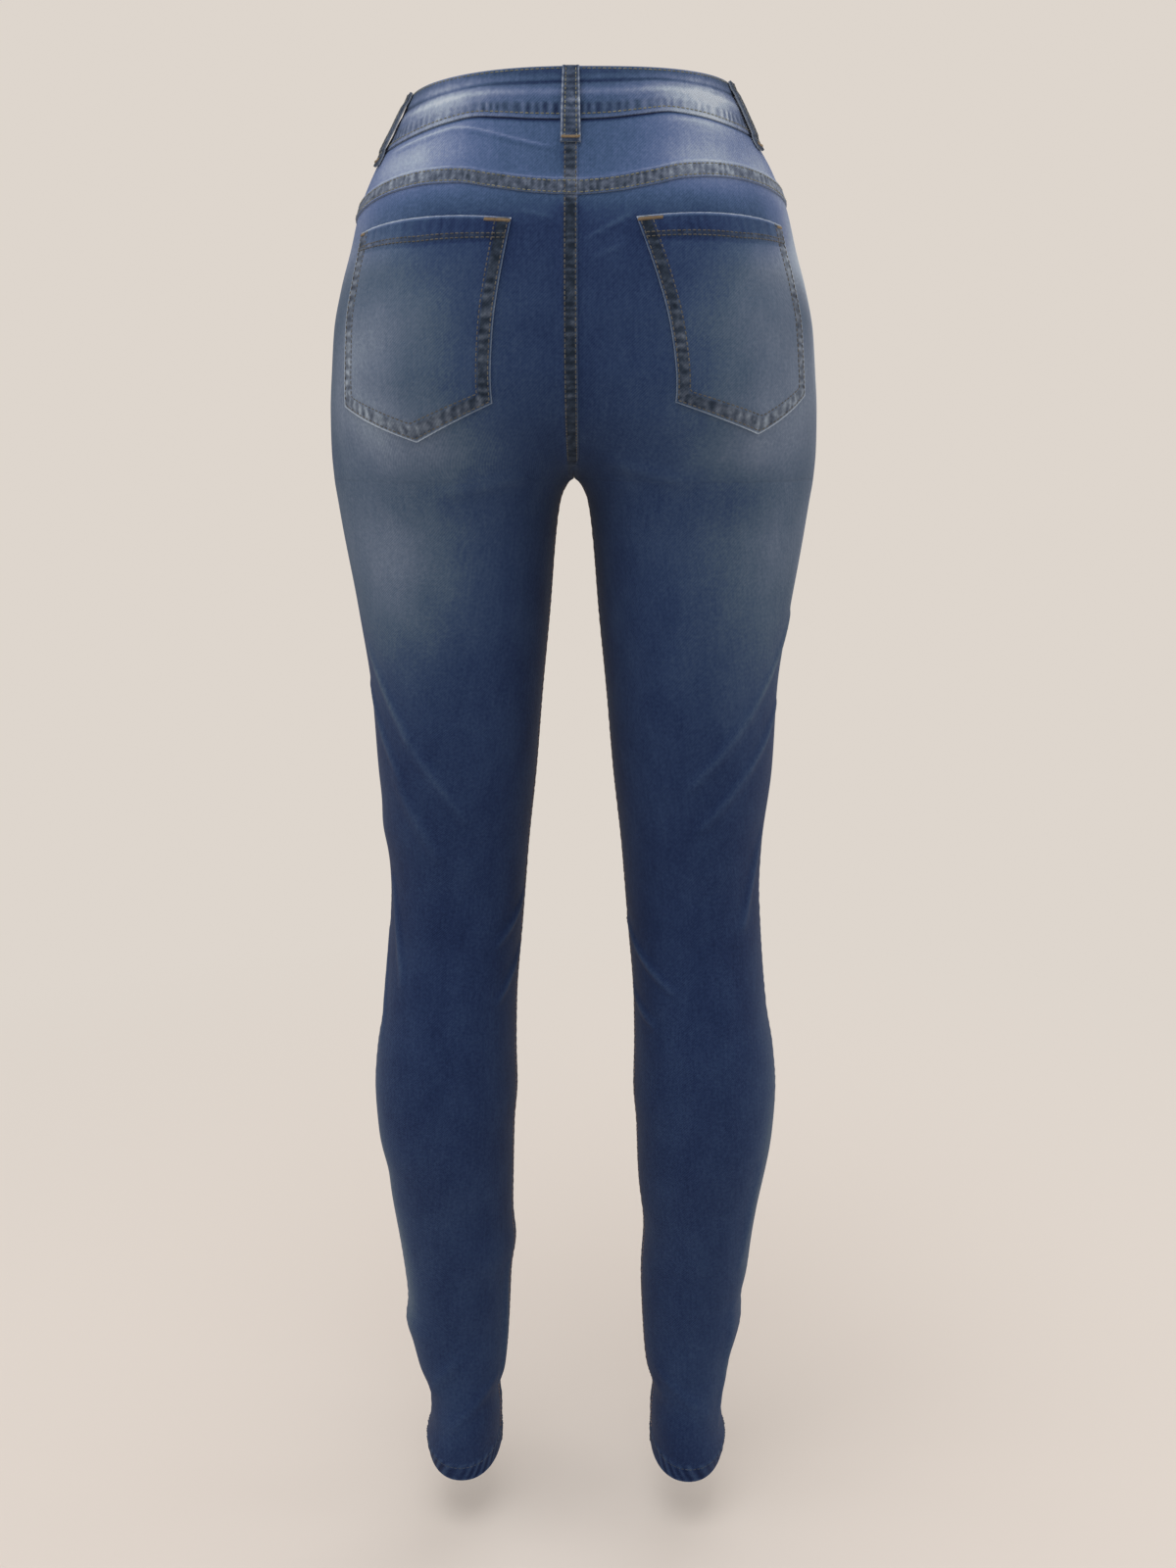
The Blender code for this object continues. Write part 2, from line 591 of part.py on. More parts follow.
def main():
    for old in list(bpy.data.objects):
        bpy.data.objects.remove(old, do_unlink=True)
    denim = cloth("denim", (0.055, 0.105, 0.22), 0.85)
    worn = cloth("denim worn", (0.16, 0.23, 0.36), 0.85)
    metal = cloth("button metal", (0.45, 0.38, 0.30), 0.35, 1.0)
    for word, side in (("left", LEFT), ("right", RIGHT)):
        leg_panel("back_" + word, side, BACK, denim)
        leg_panel("front_" + word, side, FRONT, denim)
        yoke("yoke_" + word, side, worn)
        pocket("pocket_" + word, side, worn)
    waistband(worn)
    for name, side, back, share, stands_off, below in LOOPS:
        belt_loop(name, side, back, share, stands_off, below, worn)
    fly(denim)
    button(metal)


main()
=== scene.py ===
"""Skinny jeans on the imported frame: fine shells of stretch denim with their folds, felled seams, puckers,
stitches and wash, seen from behind as in the photograph.

Tables and sizes are in millimetres unless a name says otherwise. The front faces -Y, the wearer's left is +X,
and the origin is the middle of the waist.
"""

import math
from collections import namedtuple
from functools import partial

import bpy
import numpy as np
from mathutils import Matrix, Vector


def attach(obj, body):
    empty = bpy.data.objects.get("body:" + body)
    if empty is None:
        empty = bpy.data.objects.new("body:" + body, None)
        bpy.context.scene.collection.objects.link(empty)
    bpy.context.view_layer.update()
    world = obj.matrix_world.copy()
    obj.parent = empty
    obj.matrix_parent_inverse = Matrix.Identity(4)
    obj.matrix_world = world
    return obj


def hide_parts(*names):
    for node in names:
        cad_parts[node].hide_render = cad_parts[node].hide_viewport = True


MM = 0.001
LEFT, RIGHT = 1, -1
BACK, FRONT = True, False
SIDE_NAMES = (("left", LEFT), ("right", RIGHT))

# Camera and studio, in metres
CAMERA_DISTANCE = 1.125
CAMERA_HEIGHT = -0.187
CAMERA_ASIDE = -0.0097
CAMERA_TILT = math.radians(13.09)
CAMERA_YAW = math.radians(0.6)
CAMERA_LENS = 35.70
FLOOR_Z = -1.0507

# Cloth and seams. The first three are the solids' own sizes, and the shells are thinner than the solids.
WAISTBAND_PROUD = 0.6
WAISTBAND_CLOTH = 2.4
LAY_GAP = 0.7
CLOTH = 1.0
SEAM_GAP = 0.06
HEM_DEPTH = 13.0
HEM_PROUD = 0.6
HEM_CLOTH = 2.0

# Level lines at the waist: rows of how far round the back each is from the centre to the side, and the height
# there, then the height at the centre front and how much higher the line is at either side, as the jeans sit
# askew.
Level = namedtuple("Level", "back front_centre left_slant right_slant")
WAIST_TOP = Level(((0.0, 28.5), (0.5, 27.5), (1.0, 26.5)), 14.0, -5.0, 2.5)
WAIST_SEAM = Level(
    ((0.0, -4.0), (0.13, -3.3), (0.25, -1.5), (0.35, 0.0), (0.45, -1.7), (0.66, -7.5), (0.85, -11.0),
     (1.0, -12.0)),
    -21.0, -4.5, 6.5,
)
YOKE_SEAM = Level(
    ((0.0, -46.5), (0.13, -44.5), (0.25, -40.7), (0.35, -37.0), (0.45, -36.2), (0.55, -37.3), (0.65, -39.8),
     (0.8, -44.5), (1.0, -48.0)),
    None, -4.5, 6.5,
)

# The hem's height at the back, the two seams and the front
HEM = (-1003.0, -997.0, -991.0)
CROTCH = -225.0
TOP_CURVES_END = -62.0
HEM_CURVES_START = -900.0
FULLNESS = 2.15
SECTION_COLUMNS = (
    "z", "side_x", "inner_x", "fold", "seat_x", "belly_x", "back_y", "front_y", "side_y", "inner_y"
)
SECTIONS = (
    (50, 98, -98, 30, 0, 0, 76, -82, 0, 0),
    (29, 106, -106, 30, 0, 0, 84, -86, 0, 0),
    (0, 120, -120, 30, 6, 0, 94, -91, 0, 0),
    (-24, 134, -130, 30, 20, 0, 103, -94, 1, 0),
    (-49, 144.5, -132, 30, 36, 0, 112, -96, 2, 0),
    (-75, 151, -126, 30, 50, 2, 119, -97, 3, 1),
    (-100, 158, -112, 30, 60, 10, 124, -97, 4, 2),
    (-126, 163.5, -90, 28, 68, 20, 127, -96, 4, 3),
    (-153, 166, -64, 24, 73, 34, 127, -94, 4, 4),
    (-180, 168, -34, 17, 78, 52, 123, -92, 4, 5),
    (-205, 168.5, -8, 10, 83, 70, 114, -90, 4, 6),
    (-225, 167.5, 5, 5, 86, 80, 106, -88, 4, 6),
    (-240, 165.5, 11, 5, 87, 84, 101, -87, 4, 7),
    (-262, 162.5, 14, 5, 87, 85, 95, -87, 4, 7),
    (-318, 154, 18.5, 5, 86, 84, 87, -85, 3, 7),
    (-375, 147, 24, 5, 85, 83, 78, -82, 1, 5),
    (-434, 145, 29, 5, 86, 85, 69, -78, -2, 2),
    (-494, 139.5, 35.5, 5, 87, 86, 59, -73, -5, -3),
    (-524, 138.5, 38, 5, 88, 87, 55, -69, -5, -4),
    (-555, 140, 40.5, 5, 89, 89, 54, -64, -4, -3),
    (-618, 145.5, 45.5, 5, 95, 93, 61, -55, 2, 1),
    (-651, 151, 46, 5, 98, 95, 65, -51, 6, 5),
    (-683, 153.5, 45.5, 5, 99, 96, 66, -48, 8, 7),
    (-716, 152, 48, 5, 99, 96, 65, -45, 9, 8),
    (-783, 142.5, 50, 5, 96, 94, 56, -41, 7, 7),
    (-852, 134.5, 52.5, 5, 93, 92, 47, -38, 5, 4),
    (-900, 131, 55, 5, 92, 91, 43, -37, 4, 3),
    (-922, 127, 57, 5, 92, 91, 43, -38, 3, 3),
    (-945, 119.5, 60.5, 5, 90, 90, 45, -40, 3, 3),
    (-965, 117.5, 61, 5, 90, 90, 48, -42, 4, 4),
    (-995, 122, 61.5, 5, 92, 92, 51, -43, 5, 5),
    (-1020, 122, 61.5, 5, 92, 92, 51, -43, 5, 5),
)


def column(name):
    """One column of the section table, lowest row first."""
    at = SECTION_COLUMNS.index(name)
    return np.array([row[at] for row in reversed(SECTIONS)], float)


def smooth(known_at, known, at):
    """A curve through the known values that turns only where they do, so it never swings past one."""
    step = np.diff(known_at)
    rise = np.diff(known) / step
    slope = np.zeros(len(known))
    slope[0], slope[-1] = rise[0], rise[-1]
    steady = rise[:-1] * rise[1:] > 0
    slope[1:-1][steady] = 2 * (rise[:-1] * rise[1:])[steady] / (rise[:-1] + rise[1:])[steady]
    i = np.clip(np.searchsorted(known_at, at) - 1, 0, len(step) - 1)
    t = (at - known_at[i]) / step[i]
    rest = 1 - t
    return (
        known[i] * (1 + 2 * t) * rest**2
        + known[i + 1] * (3 - 2 * t) * t**2
        + step[i] * (slope[i] * t * rest**2 - slope[i + 1] * rest * t**2)
    )


def ease(t):
    """0 to 1 with a soft start and end."""
    t = np.clip(t, 0, 1)
    return t * t * (3 - 2 * t)


def bump(distance, width):
    """1 on a line and 0 well away from it, so bump(distance - 3, 2) is a ridge 3 off and 2 wide."""
    return np.exp(-2.8 * (distance / width) ** 2)


ARC_STEPS = np.linspace(0, 1, 150)
PARTING = (-262.0, -190.0)
GATHERS = 6


def outline(z, back):
    """The left half's outline at the heights z, from the centre line or inseam to the side seam."""
    heights = column("z")
    row = {name: smooth(heights, column(name), z)[:, None] for name in SECTION_COLUMNS[1:]}
    fold = row["fold"]
    apex = np.hypot(row["seat_x"] if back else row["belly_x"], fold)
    reach = row["back_y"] if back else row["front_y"]
    side = np.hypot(row["side_x"], fold)
    power = 2 / FULLNESS
    wide = apex - row["inner_x"]
    whole = apex - np.maximum(fold, row["inner_x"])
    start = np.arccos(np.clip(whole / wide, 0, 1) ** (1 / power))
    turn = start + (math.pi / 2 - start) * ARC_STEPS**2
    inner_x = apex - wide * np.clip(np.cos(turn), 0, 1) ** power
    inner_y = row["inner_y"] + (reach - row["inner_y"]) * np.sin(turn) ** power
    turn = math.pi / 2 * (1 - ARC_STEPS[1:])
    outer_x = apex + (side - apex) * np.clip(np.cos(turn), 0, 1) ** power
    outer_y = row["side_y"] + (reach - row["side_y"]) * np.sin(turn) ** power
    folded = np.concatenate([inner_x, outer_x], axis=1)
    y = np.concatenate([inner_y, outer_y], axis=1)
    return np.stack([np.sqrt(np.maximum(folded**2 - fold**2, 0)), y], axis=2)


# The figure is worked out once on a fine net of heights and shares, and pieces are read from that net.
NET_Z = np.concatenate([
    np.arange(-1030, -300, 2.0), np.arange(-300, -240, 1.0), np.arange(-240, -228, 0.5),
    np.arange(-228, -222, 0.1), np.arange(-222, -190, 0.5), np.arange(-190, 48, 1.5),
])
NET_SHARES = np.concatenate([np.linspace(0, 0.1, 60)[:-1], np.linspace(0.1, 1, 260)])


def lengths_along(points):
    steps = np.linalg.norm(np.diff(points, axis=1), axis=2)
    return np.concatenate([np.zeros((len(points), 1)), np.cumsum(steps, axis=1)], axis=1)


def net(back):
    """Points and normals of the left half's back or front, and how far it is round at each height."""
    points = outline(NET_Z, back)
    lengths = lengths_along(points)
    total = lengths[:, -1]
    even = np.where((NET_Z > PARTING[0]) & (NET_Z < PARTING[1]),
                    np.interp(NET_Z, PARTING, np.interp(PARTING, NET_Z, total)), total)
    inward = 1 - NET_SHARES[None, :]
    wanted = total[:, None] - even[:, None] * inward - (total - even)[:, None] * inward**GATHERS
    flat = np.array([
        [np.interp(w, own, p[:, 0]), np.interp(w, own, p[:, 1])] for w, own, p in zip(wanted, lengths, points)
    ])
    height = np.broadcast_to(NET_Z[:, None], wanted.shape)
    place = np.stack([flat[:, 0], flat[:, 1], height], axis=2)
    up = np.gradient(place, axis=0)
    round_it = np.gradient(place, axis=1)
    normal = np.cross(round_it, up) * (-1 if back else 1)
    normal /= np.maximum(np.linalg.norm(normal, axis=2, keepdims=True), 1e-9)
    return {"place": place, "normal": normal, "girth": total}


NETS = {}


def girth(z, back):
    """How far it is round the back or the front of one half."""
    return np.interp(z, NET_Z, NETS[back]["girth"])


def read_net(back, z, share):
    """Points and normals between the net's own."""
    i = np.clip(np.searchsorted(NET_Z, z) - 1, 0, len(NET_Z) - 2)
    j = np.clip(np.searchsorted(NET_SHARES, share) - 1, 0, len(NET_SHARES) - 2)
    t = ((z - NET_Z[i]) / (NET_Z[i + 1] - NET_Z[i]))[..., None]
    u = ((share - NET_SHARES[j]) / (NET_SHARES[j + 1] - NET_SHARES[j]))[..., None]
    found = []
    for key in ("place", "normal"):
        known = NETS[back][key]
        low = known[i, j] * (1 - u) + known[i, j + 1] * u
        high = known[i + 1, j] * (1 - u) + known[i + 1, j + 1] * u
        found.append(low * (1 - t) + high * t)
    place, normal = found
    return place, normal / np.maximum(np.linalg.norm(normal, axis=-1, keepdims=True), 1e-9)


def on_figure(side, back, z, share, lift=0.0):
    """Points moved out of the figure by lift, and normals. A share below 0 lies past the centre line."""
    z, share, lift = np.broadcast_arrays(np.asarray(z, float), share, lift)
    crossed = np.where(share < 0, -1, 1) * side
    place, normal = read_net(back, z, np.abs(share))
    raised = lift + relief(crossed, back, z, np.abs(share))
    place = place + normal * raised[..., None]
    normal = normal.copy()
    place[..., 0] += lean(crossed, z, np.abs(share))
    place[..., 0] *= crossed
    normal[..., 0] *= crossed
    return place, normal


# The folds of each leg's back and front, each a soft ridge: height and share of the way round at both ends,
# half width, how far it stands out and how much paler its crest is, partly wear and partly a painted
# highlight where light catches the ridge.
FOLD_COLUMNS = ("from_z", "from_share", "to_z", "to_share", "width", "height", "worn")
FOLDS = {
    (LEFT, BACK): (
        (-341, 0.81, -402, 0.64, 6, 2.2, 0.19),
        (-402, 0.64, -460, 0.44, 7, 1.8, 0.11),
        (-369, 0.88, -432, 0.68, 6, 2.0, 0.15),
        (-432, 0.71, -488, 0.54, 9, 1.8, 0.07),
        (-515, 0.84, -590, 0.72, 7, 2.0, 0.14),
        (-560, 0.93, -640, 0.86, 7, 1.6, 0.10),
        (-530, 0.06, -560, 0.27, 6, 2.0, 0.15),
        (-572, 0.05, -604, 0.24, 6, 2.0, 0.16),
        (-830, 0.12, -938, 0.10, 7, 2.2, 0.12),
        (-905, 0.50, -950, 0.86, 8, 1.2, 0.02),
        (-925, 0.20, -958, 0.55, 8, 1.3, 0.03),
        (-64, 0.05, -59, 0.15, 4, 0.5, 0.10),
        (-222, 0.20, -232, 0.42, 7, 1.4, 0.03),
    ),
    (RIGHT, BACK): (
        (-320, 0.92, -386, 0.68, 6, 2.0, 0.16),
        (-386, 0.68, -434, 0.48, 7, 1.8, 0.10),
        (-382, 0.88, -425, 0.69, 6, 2.2, 0.17),
        (-425, 0.69, -467, 0.51, 7, 1.6, 0.09),
        (-478, 0.84, -545, 0.72, 7, 2.2, 0.13),
        (-552, 0.04, -592, 0.37, 6, 2.2, 0.16),
        (-604, 0.05, -622, 0.26, 6, 1.8, 0.12),
        (-738, 0.80, -822, 0.78, 8, 2.0, 0.09),
        (-860, 0.78, -965, 0.80, 8, 1.8, 0.09),
        (-915, 0.25, -950, 0.62, 8, 1.2, 0.02),
        (-76, 0.05, -62, 0.17, 4, 0.6, 0.14),
        (-88, 0.06, -80, 0.15, 4, 0.4, 0.08),
        (-212, 0.14, -226, 0.40, 7, 1.5, 0.03),
    ),
    (LEFT, FRONT): (
        (-496, 0.88, -530, 0.45, 7, 2.0, 0.07),
        (-462, 0.10, -505, 0.40, 7, 1.8, 0.06),
        (-552, 0.10, -580, 0.42, 7, 1.6, 0.05),
        (-262, 0.08, -222, 0.46, 7, 1.8, 0.07),
        (-290, 0.12, -262, 0.52, 8, 1.3, 0.06),
        (-905, 0.20, -935, 0.70, 8, 1.3, 0.02),
    ),
    (RIGHT, FRONT): (
        (-515, 0.86, -542, 0.42, 7, 2.0, 0.07),
        (-478, 0.10, -512, 0.42, 7, 1.8, 0.06),
        (-560, 0.88, -590, 0.55, 7, 1.5, 0.05),
        (-268, 0.10, -228, 0.50, 7, 1.8, 0.07),
        (-300, 0.14, -268, 0.55, 8, 1.3, 0.06),
        (-918, 0.25, -946, 0.78, 8, 1.3, 0.02),
    ),
}
FOLDS_FADE_AT_SEAMS = 0.05
CREST = 0.55


def fold_distance(fold, back, z, share):
    """How far points are from a fold's line, and how far along it they are."""
    start = np.array([fold["from_z"], fold["from_share"]], float)
    end = np.array([fold["to_z"], fold["to_share"]], float)
    scale = np.array([1.0, float(girth((start[0] + end[0]) / 2, back))])
    run = (end - start) * scale
    away = (np.stack([z, share], axis=-1) - start) * scale
    along = np.clip(away @ run / (run @ run), 0, 1)
    return np.linalg.norm(away - along[..., None] * run, axis=-1), along


def over_folds(leg, back, z, share, what):
    """The folds' height, or how pale their crests are, at points: partly wear and partly painted highlight.
    Each is strongest in its middle, and pale only on its crest.
    """
    narrow = CREST if what == "worn" else 1.0
    total = np.zeros(z.shape)
    for side in (LEFT, RIGHT):
        for values in FOLDS[side, back]:
            fold = dict(zip(FOLD_COLUMNS, values))
            distance, along = fold_distance(fold, back, z, share)
            strength = 0.35 + 0.65 * np.sin(math.pi * (0.1 + 0.8 * along))
            height = fold[what] * strength * bump(distance, narrow * fold["width"])
            total += np.where(leg == side, height, 0)
    return total * ease(np.minimum(share, 1 - share) / FOLDS_FADE_AT_SEAMS)


def relief(leg, back, z, share):
    """How far folds and slow waves of the cloth stand out of the figure."""
    leg = np.broadcast_to(leg, z.shape)
    slow = 0.35 * np.sin(z / 31 + 2.1 * share * leg + (1.3 if back else 0.2)) * np.sin(5.2 * share + z / 67)
    below = ease((CROTCH + 20 - z) / 60)
    return over_folds(leg, back, z, share, "height") + slow * below * ease(np.minimum(share, 1 - share) / 0.1)


# Where one lower leg is fuller or slimmer than the other: leg, height, half height, and how far the side and
# the inseam stand further out.
LEAN_COLUMNS = ("leg", "z", "tall", "side", "inseam")
LEANS = (
    (LEFT, -478, 28, 2.4, 0.0),
    (LEFT, -748, 30, -2.0, 0.0),
    (LEFT, -815, 30, 0.0, 3.0),
    (LEFT, -885, 22, 3.4, 0.0),
    (LEFT, -945, 18, -1.8, -2.0),
    (RIGHT, -800, 50, -1.0, -3.6),
    (RIGHT, -860, 25, -2.0, 0.0),
    (RIGHT, -915, 36, -4.0, 0.0),
    (RIGHT, -945, 20, 0.0, -2.2),
    (LEFT, -1004, 20, -4.0, 0.0),
    (RIGHT, -1004, 20, -4.0, 0.0),
)


def lean(leg, z, share):
    """How far out of its place each point of a lower leg leans, away from the centre."""
    outwards = ease(share)
    total = np.zeros(z.shape)
    for values in LEANS:
        row = dict(zip(LEAN_COLUMNS, values))
        amount = row["side"] * outwards - row["inseam"] * (1 - outwards)
        total += np.where(leg == row["leg"], amount * bump(z - row["z"], row["tall"]), 0)
    return total


def level_at(level, side, share, back):
    """The height of a level line this far round."""
    share = np.abs(share)
    shares, heights = np.array(level.back).T
    if back:
        z = smooth(shares, heights, np.clip(share, 0, 1))
    else:
        z = heights[-1] + (level.front_centre - heights[-1]) * ease(1 - share)
    return z + (level.left_slant if side == LEFT else level.right_slant) * ease(share)


def hem_level(share, back):
    """The height of the hem this far round a leg."""
    return HEM[1] + (HEM[0 if back else 2] - HEM[1]) * np.sin(math.pi * share) ** 2


def rows_between(levels, top, bottom):
    """Row heights for every column: the first follows top, the last follows bottom, and the curves fade out
    over the rows between."""
    levels = np.array(levels, float)[:, None]
    from_top = ease((levels - TOP_CURVES_END) / (levels[0] - TOP_CURVES_END))
    from_bottom = ease((HEM_CURVES_START - levels) / (HEM_CURVES_START - levels[-1]))
    return levels + from_top * (top - levels[0])[None, :] + from_bottom * (bottom - levels[-1])[None, :]


def puckers(along, pitch, start=0.0):
    """Uneven ripples along a seam, from -1 to 1."""
    drift = 1.3 * np.sin(along / (1.7 * pitch) + start) + 1.1 * np.sin(along / (0.73 * pitch) + 2.1 * start)
    uneven = np.sin(along / (2.3 * pitch) + 1.7 * start) * np.sin(along / (0.9 * pitch) + start)
    return (0.66 + 0.34 * uneven) * np.sin(2 * math.pi * along / pitch + drift)


# How pale the cloth is, from 0, dark indigo, to 1, nearly white, from wear and in places from painted light:
# first its level down the back and the front, then patches on each leg's back and front, with their height,
# share of the way round, half height, half width and what they add.
WORN_HEIGHTS = (-1003, -900, -800, -700, -560, -480, -380, -300, -225, -120, -70, -45, 0, 30)
WORN_BACK = (0.10, 0.14, 0.16, 0.13, 0.11, 0.13, 0.15, 0.16, 0.19, 0.15, 0.13, 0.40, 0.38, 0.36)
WORN_FRONT = (0.07, 0.11, 0.12, 0.12, 0.15, 0.18, 0.22, 0.22, 0.20, 0.22, 0.26, 0.40, 0.42, 0.42)
PATCH_COLUMNS = ("z", "share", "tall", "wide", "adds")
PATCHES = {
    (LEFT, BACK): (
        (8, 0.50, 26, 0.27, 0.46),
        (-27, 0.56, 20, 0.28, 0.44),
        (-75, 0.80, 40, 0.26, 0.40),
        (-24, 0.0, 18, 0.05, -0.20),
        (-45, 0.0, 6, 0.06, 0.12),
        (-60, 0.0, 8, 0.05, -0.14),
        (-130, 0.50, 60, 0.34, 0.34),
        (-160, 0.66, 55, 0.26, 0.25),
        # Painted light: this patch lightens the underside of the seat, which the lights from above leave in
        # shade.
        (-183, 0.50, 24, 0.36, 0.20),
        (-206, 0.46, 25, 0.30, 0.25),
        (-265, 0.97, 120, 0.14, 0.20),
        (-265, 0.66, 72, 0.34, 0.36),
        (-330, 0.66, 60, 0.26, 0.16),
        (-130, 0.92, 90, 0.15, 0.22),
        (-80, 0.55, 22, 0.22, 0.16),
        (-795, 0.93, 90, 0.16, 0.22),
        (-860, 0.86, 70, 0.16, 0.20),
        (-900, 0.10, 90, 0.14, 0.12),
        (-720, 0.90, 160, 0.18, 0.18),
        (-935, 0.62, 60, 0.40, 0.06),
    ),
    (RIGHT, BACK): (
        (8, 0.52, 26, 0.28, 0.62),
        (-27, 0.44, 20, 0.22, 0.40),
        (-27, 0.72, 20, 0.18, 0.30),
        (-75, 0.82, 40, 0.22, 0.52),
        (-45, 0.0, 6, 0.06, 0.12),
        (-60, 0.0, 8, 0.05, -0.14),
        (-130, 0.50, 60, 0.32, 0.29),
        (-160, 0.70, 55, 0.26, 0.27),
        # Painted light: this patch lightens the underside of the seat, which the lights from above leave in
        # shade.
        (-180, 0.52, 26, 0.36, 0.18),
        (-206, 0.54, 25, 0.28, 0.25),
        (-260, 0.97, 140, 0.15, 0.30),
        (-265, 0.72, 72, 0.32, 0.30),
        (-340, 0.68, 70, 0.26, 0.16),
        (-125, 0.93, 95, 0.18, 0.58),
        (-88, 0.62, 28, 0.24, 0.30),
        (-840, 0.93, 110, 0.18, 0.16),
        (-720, 0.90, 160, 0.18, 0.26),
        (-935, 0.75, 60, 0.35, 0.12),
    ),
    (LEFT, FRONT): (
        (-330, 0.50, 150, 0.30, 0.34),
        (-535, 0.50, 60, 0.30, 0.14),
        (-110, 0.60, 70, 0.35, 0.12),
        (-130, 1.0, 90, 0.18, 0.16),
        (-265, 1.0, 120, 0.16, 0.18),
        (-720, 1.0, 155, 0.16, 0.12),
    ),
    (RIGHT, FRONT): (
        (-330, 0.50, 150, 0.30, 0.32),
        (-535, 0.50, 60, 0.30, 0.14),
        (-110, 0.60, 70, 0.35, 0.12),
        (-130, 1.0, 95, 0.26, 0.46),
        (-260, 1.0, 140, 0.16, 0.26),
        (-720, 1.0, 155, 0.16, 0.18),
    ),
}
PATCH_SOFTNESS = 1.25


def faded_and_painted_light(leg, back, z, share):
    """How pale the cloth is at points, from its level, the patches, some of them painted light, and the
    folds' crests, partly painted highlight.
    """
    leg = np.broadcast_to(leg, z.shape)
    worn = np.interp(z, WORN_HEIGHTS, WORN_BACK if back else WORN_FRONT)
    for side in (LEFT, RIGHT):
        for values in PATCHES[side, back]:
            patch = dict(zip(PATCH_COLUMNS, values))
            off = np.hypot((z - patch["z"]) / patch["tall"], (share - patch["share"]) / patch["wide"])
            worn = worn + np.where(leg == side, patch["adds"] * bump(off, PATCH_SOFTNESS), 0)
    return worn + over_folds(leg, back, z, share, "worn")


# Felled seams: one panel laps over the next by SEAM_LAP and steps down over SEAM_STEP, with a stitch row near
# each side of the lap and puckers between the rows. The one at the centre back ends above the crotch.
SEAM_LAP = 4.5
SEAM_RISE = 1.15
SEAM_STEP = 3.5
SEAM_ROW = 3.4
SEAM_PITCH = 4.8
SEAM_PUCKERS = 0.32
LAP_ENDS = CROTCH + 4.0
LAP_FADES_OVER = 12
INSEAM_ROW = 6.5

# The scooped pocket line on the front: an ellipse about the corner of the side seam and the waist
SCOOP_SHARE = 0.56
SCOOP_TOP = -12.0
SCOOP_DROP = 92.0
SCOOP_REACH = 85.0


def scoop_distance(z, share):
    """How far a point of the front lies outside the scooped pocket line."""
    off = np.hypot((1 - share) / SCOOP_SHARE, np.minimum(z - SCOOP_TOP, 0) / SCOOP_DROP)
    return (off - 1) * SCOOP_REACH


def felled(off, along, start):
    """A felled seam's lift, wear and how much of it shows, at the distance off from its middle."""
    between = ease((SEAM_ROW + 1.6 - np.abs(off)) / 2.2)
    ripple = puckers(along, SEAM_PITCH, start)
    lift = SEAM_RISE * (1 - ease((off - SEAM_LAP - 0.5) / SEAM_STEP)) + SEAM_PUCKERS * between * ripple
    return lift, between * (0.14 * ripple - 0.04), between


def centre_seam(centre, z):
    """The felled seam at the centre back, whose edge has worn pale."""
    lift, worn, between = felled(centre, z, 1.0)
    return lift, worn + 0.42 * bump(centre + SEAM_LAP - 0.6, 1.0), between


def panel_surface(side, back, z, share):
    """A leg panel's lift off the figure, its wear with painted light and shade, and how much of a seam shows.
    """
    way = girth(z, back)
    centre, edge = share * way, (1 - share) * way
    above_hem = z - hem_level(np.abs(share), back)
    rise = ease((z - LAP_ENDS) / LAP_FADES_OVER)
    worn = faded_and_painted_light(side, back, z, np.abs(share))
    lift, seam = np.zeros(z.shape), np.zeros(z.shape)
    if side == LEFT:
        for total, part in zip((lift, worn, seam), centre_seam(centre, z)):
            total += part * rise
    inseam = 1 - rise
    ripple = puckers(z, 7.0, side + 0.5 * back)
    lift += inseam * (0.55 + 0.2 * ripple) * bump(centre - 2.6, 3.2)
    worn += inseam * (0.05 * ripple * bump(centre - 4.5, 3.5) + 0.16 * bump(centre - 1.2, 1.0))
    lift -= 0.5 * (bump(edge, 1.1) + inseam * bump(centre, 0.9))
    ripple = puckers(z, 8.0, 2 * side)
    lift += 0.22 * (1 + ripple) * bump(edge - 5, 4.5)
    worn += (0.05 + 0.04 * ripple) * bump(edge - 4, 4)
    seam += 0.6 * (inseam * bump(centre - 3, 3) + bump(edge - 4, 4))
    in_hem = ease((HEM_DEPTH + 0.8 - above_hem) / 1.6)
    ripple = puckers(centre + 0.7 * above_hem, 7.5, 3 * side + back)
    lift += in_hem * (HEM_PROUD + 0.3 * ripple * ease(above_hem / 4))
    worn += in_hem * 0.18 * ripple + 0.18 * bump(above_hem, 1.3) + 0.20 * bump(above_hem - HEM_DEPTH + 1, 1.5)
    if not back:
        off = scoop_distance(z, share)
        shown = ease((z - SCOOP_TOP + SCOOP_DROP + 12) / 8)
        lift += shown * (-0.7 * (1 - ease((off + 1) / 1.2)) + 0.35 * bump(off - 3, 4))
        # Painted shade: darker just inside the scooped edge, where the cloth dips under it; the pale line on
        # the edge itself is wear.
        worn += shown * (0.22 * bump(off - 0.4, 0.9) - 0.12 * bump(off + 1.6, 2.0))
        seam += 0.5 * shown * bump(off - 4.5, 4.5)
    return lift, worn, seam


# A crease across each yoke: where round the back it runs, how far below the waist seam it lies there, how far
# it stands out and how strong its painted light is: a painted highlight along its upper side and painted
# shade under it
Crease = namedtuple("Crease", "shares depths height worn")
CREASES = {
    LEFT: Crease(
        (0.02, 0.085, 0.28, 0.37, 0.42, 0.51, 0.72), (18.0, 17.0, 10.0, 7.0, 5.5, 6.0, 6.5), 0.45, 0.22
    ),
    RIGHT: Crease((0.32, 0.45, 0.58), (6.0, 4.5, 6.5), 0.3, 0.10),
}


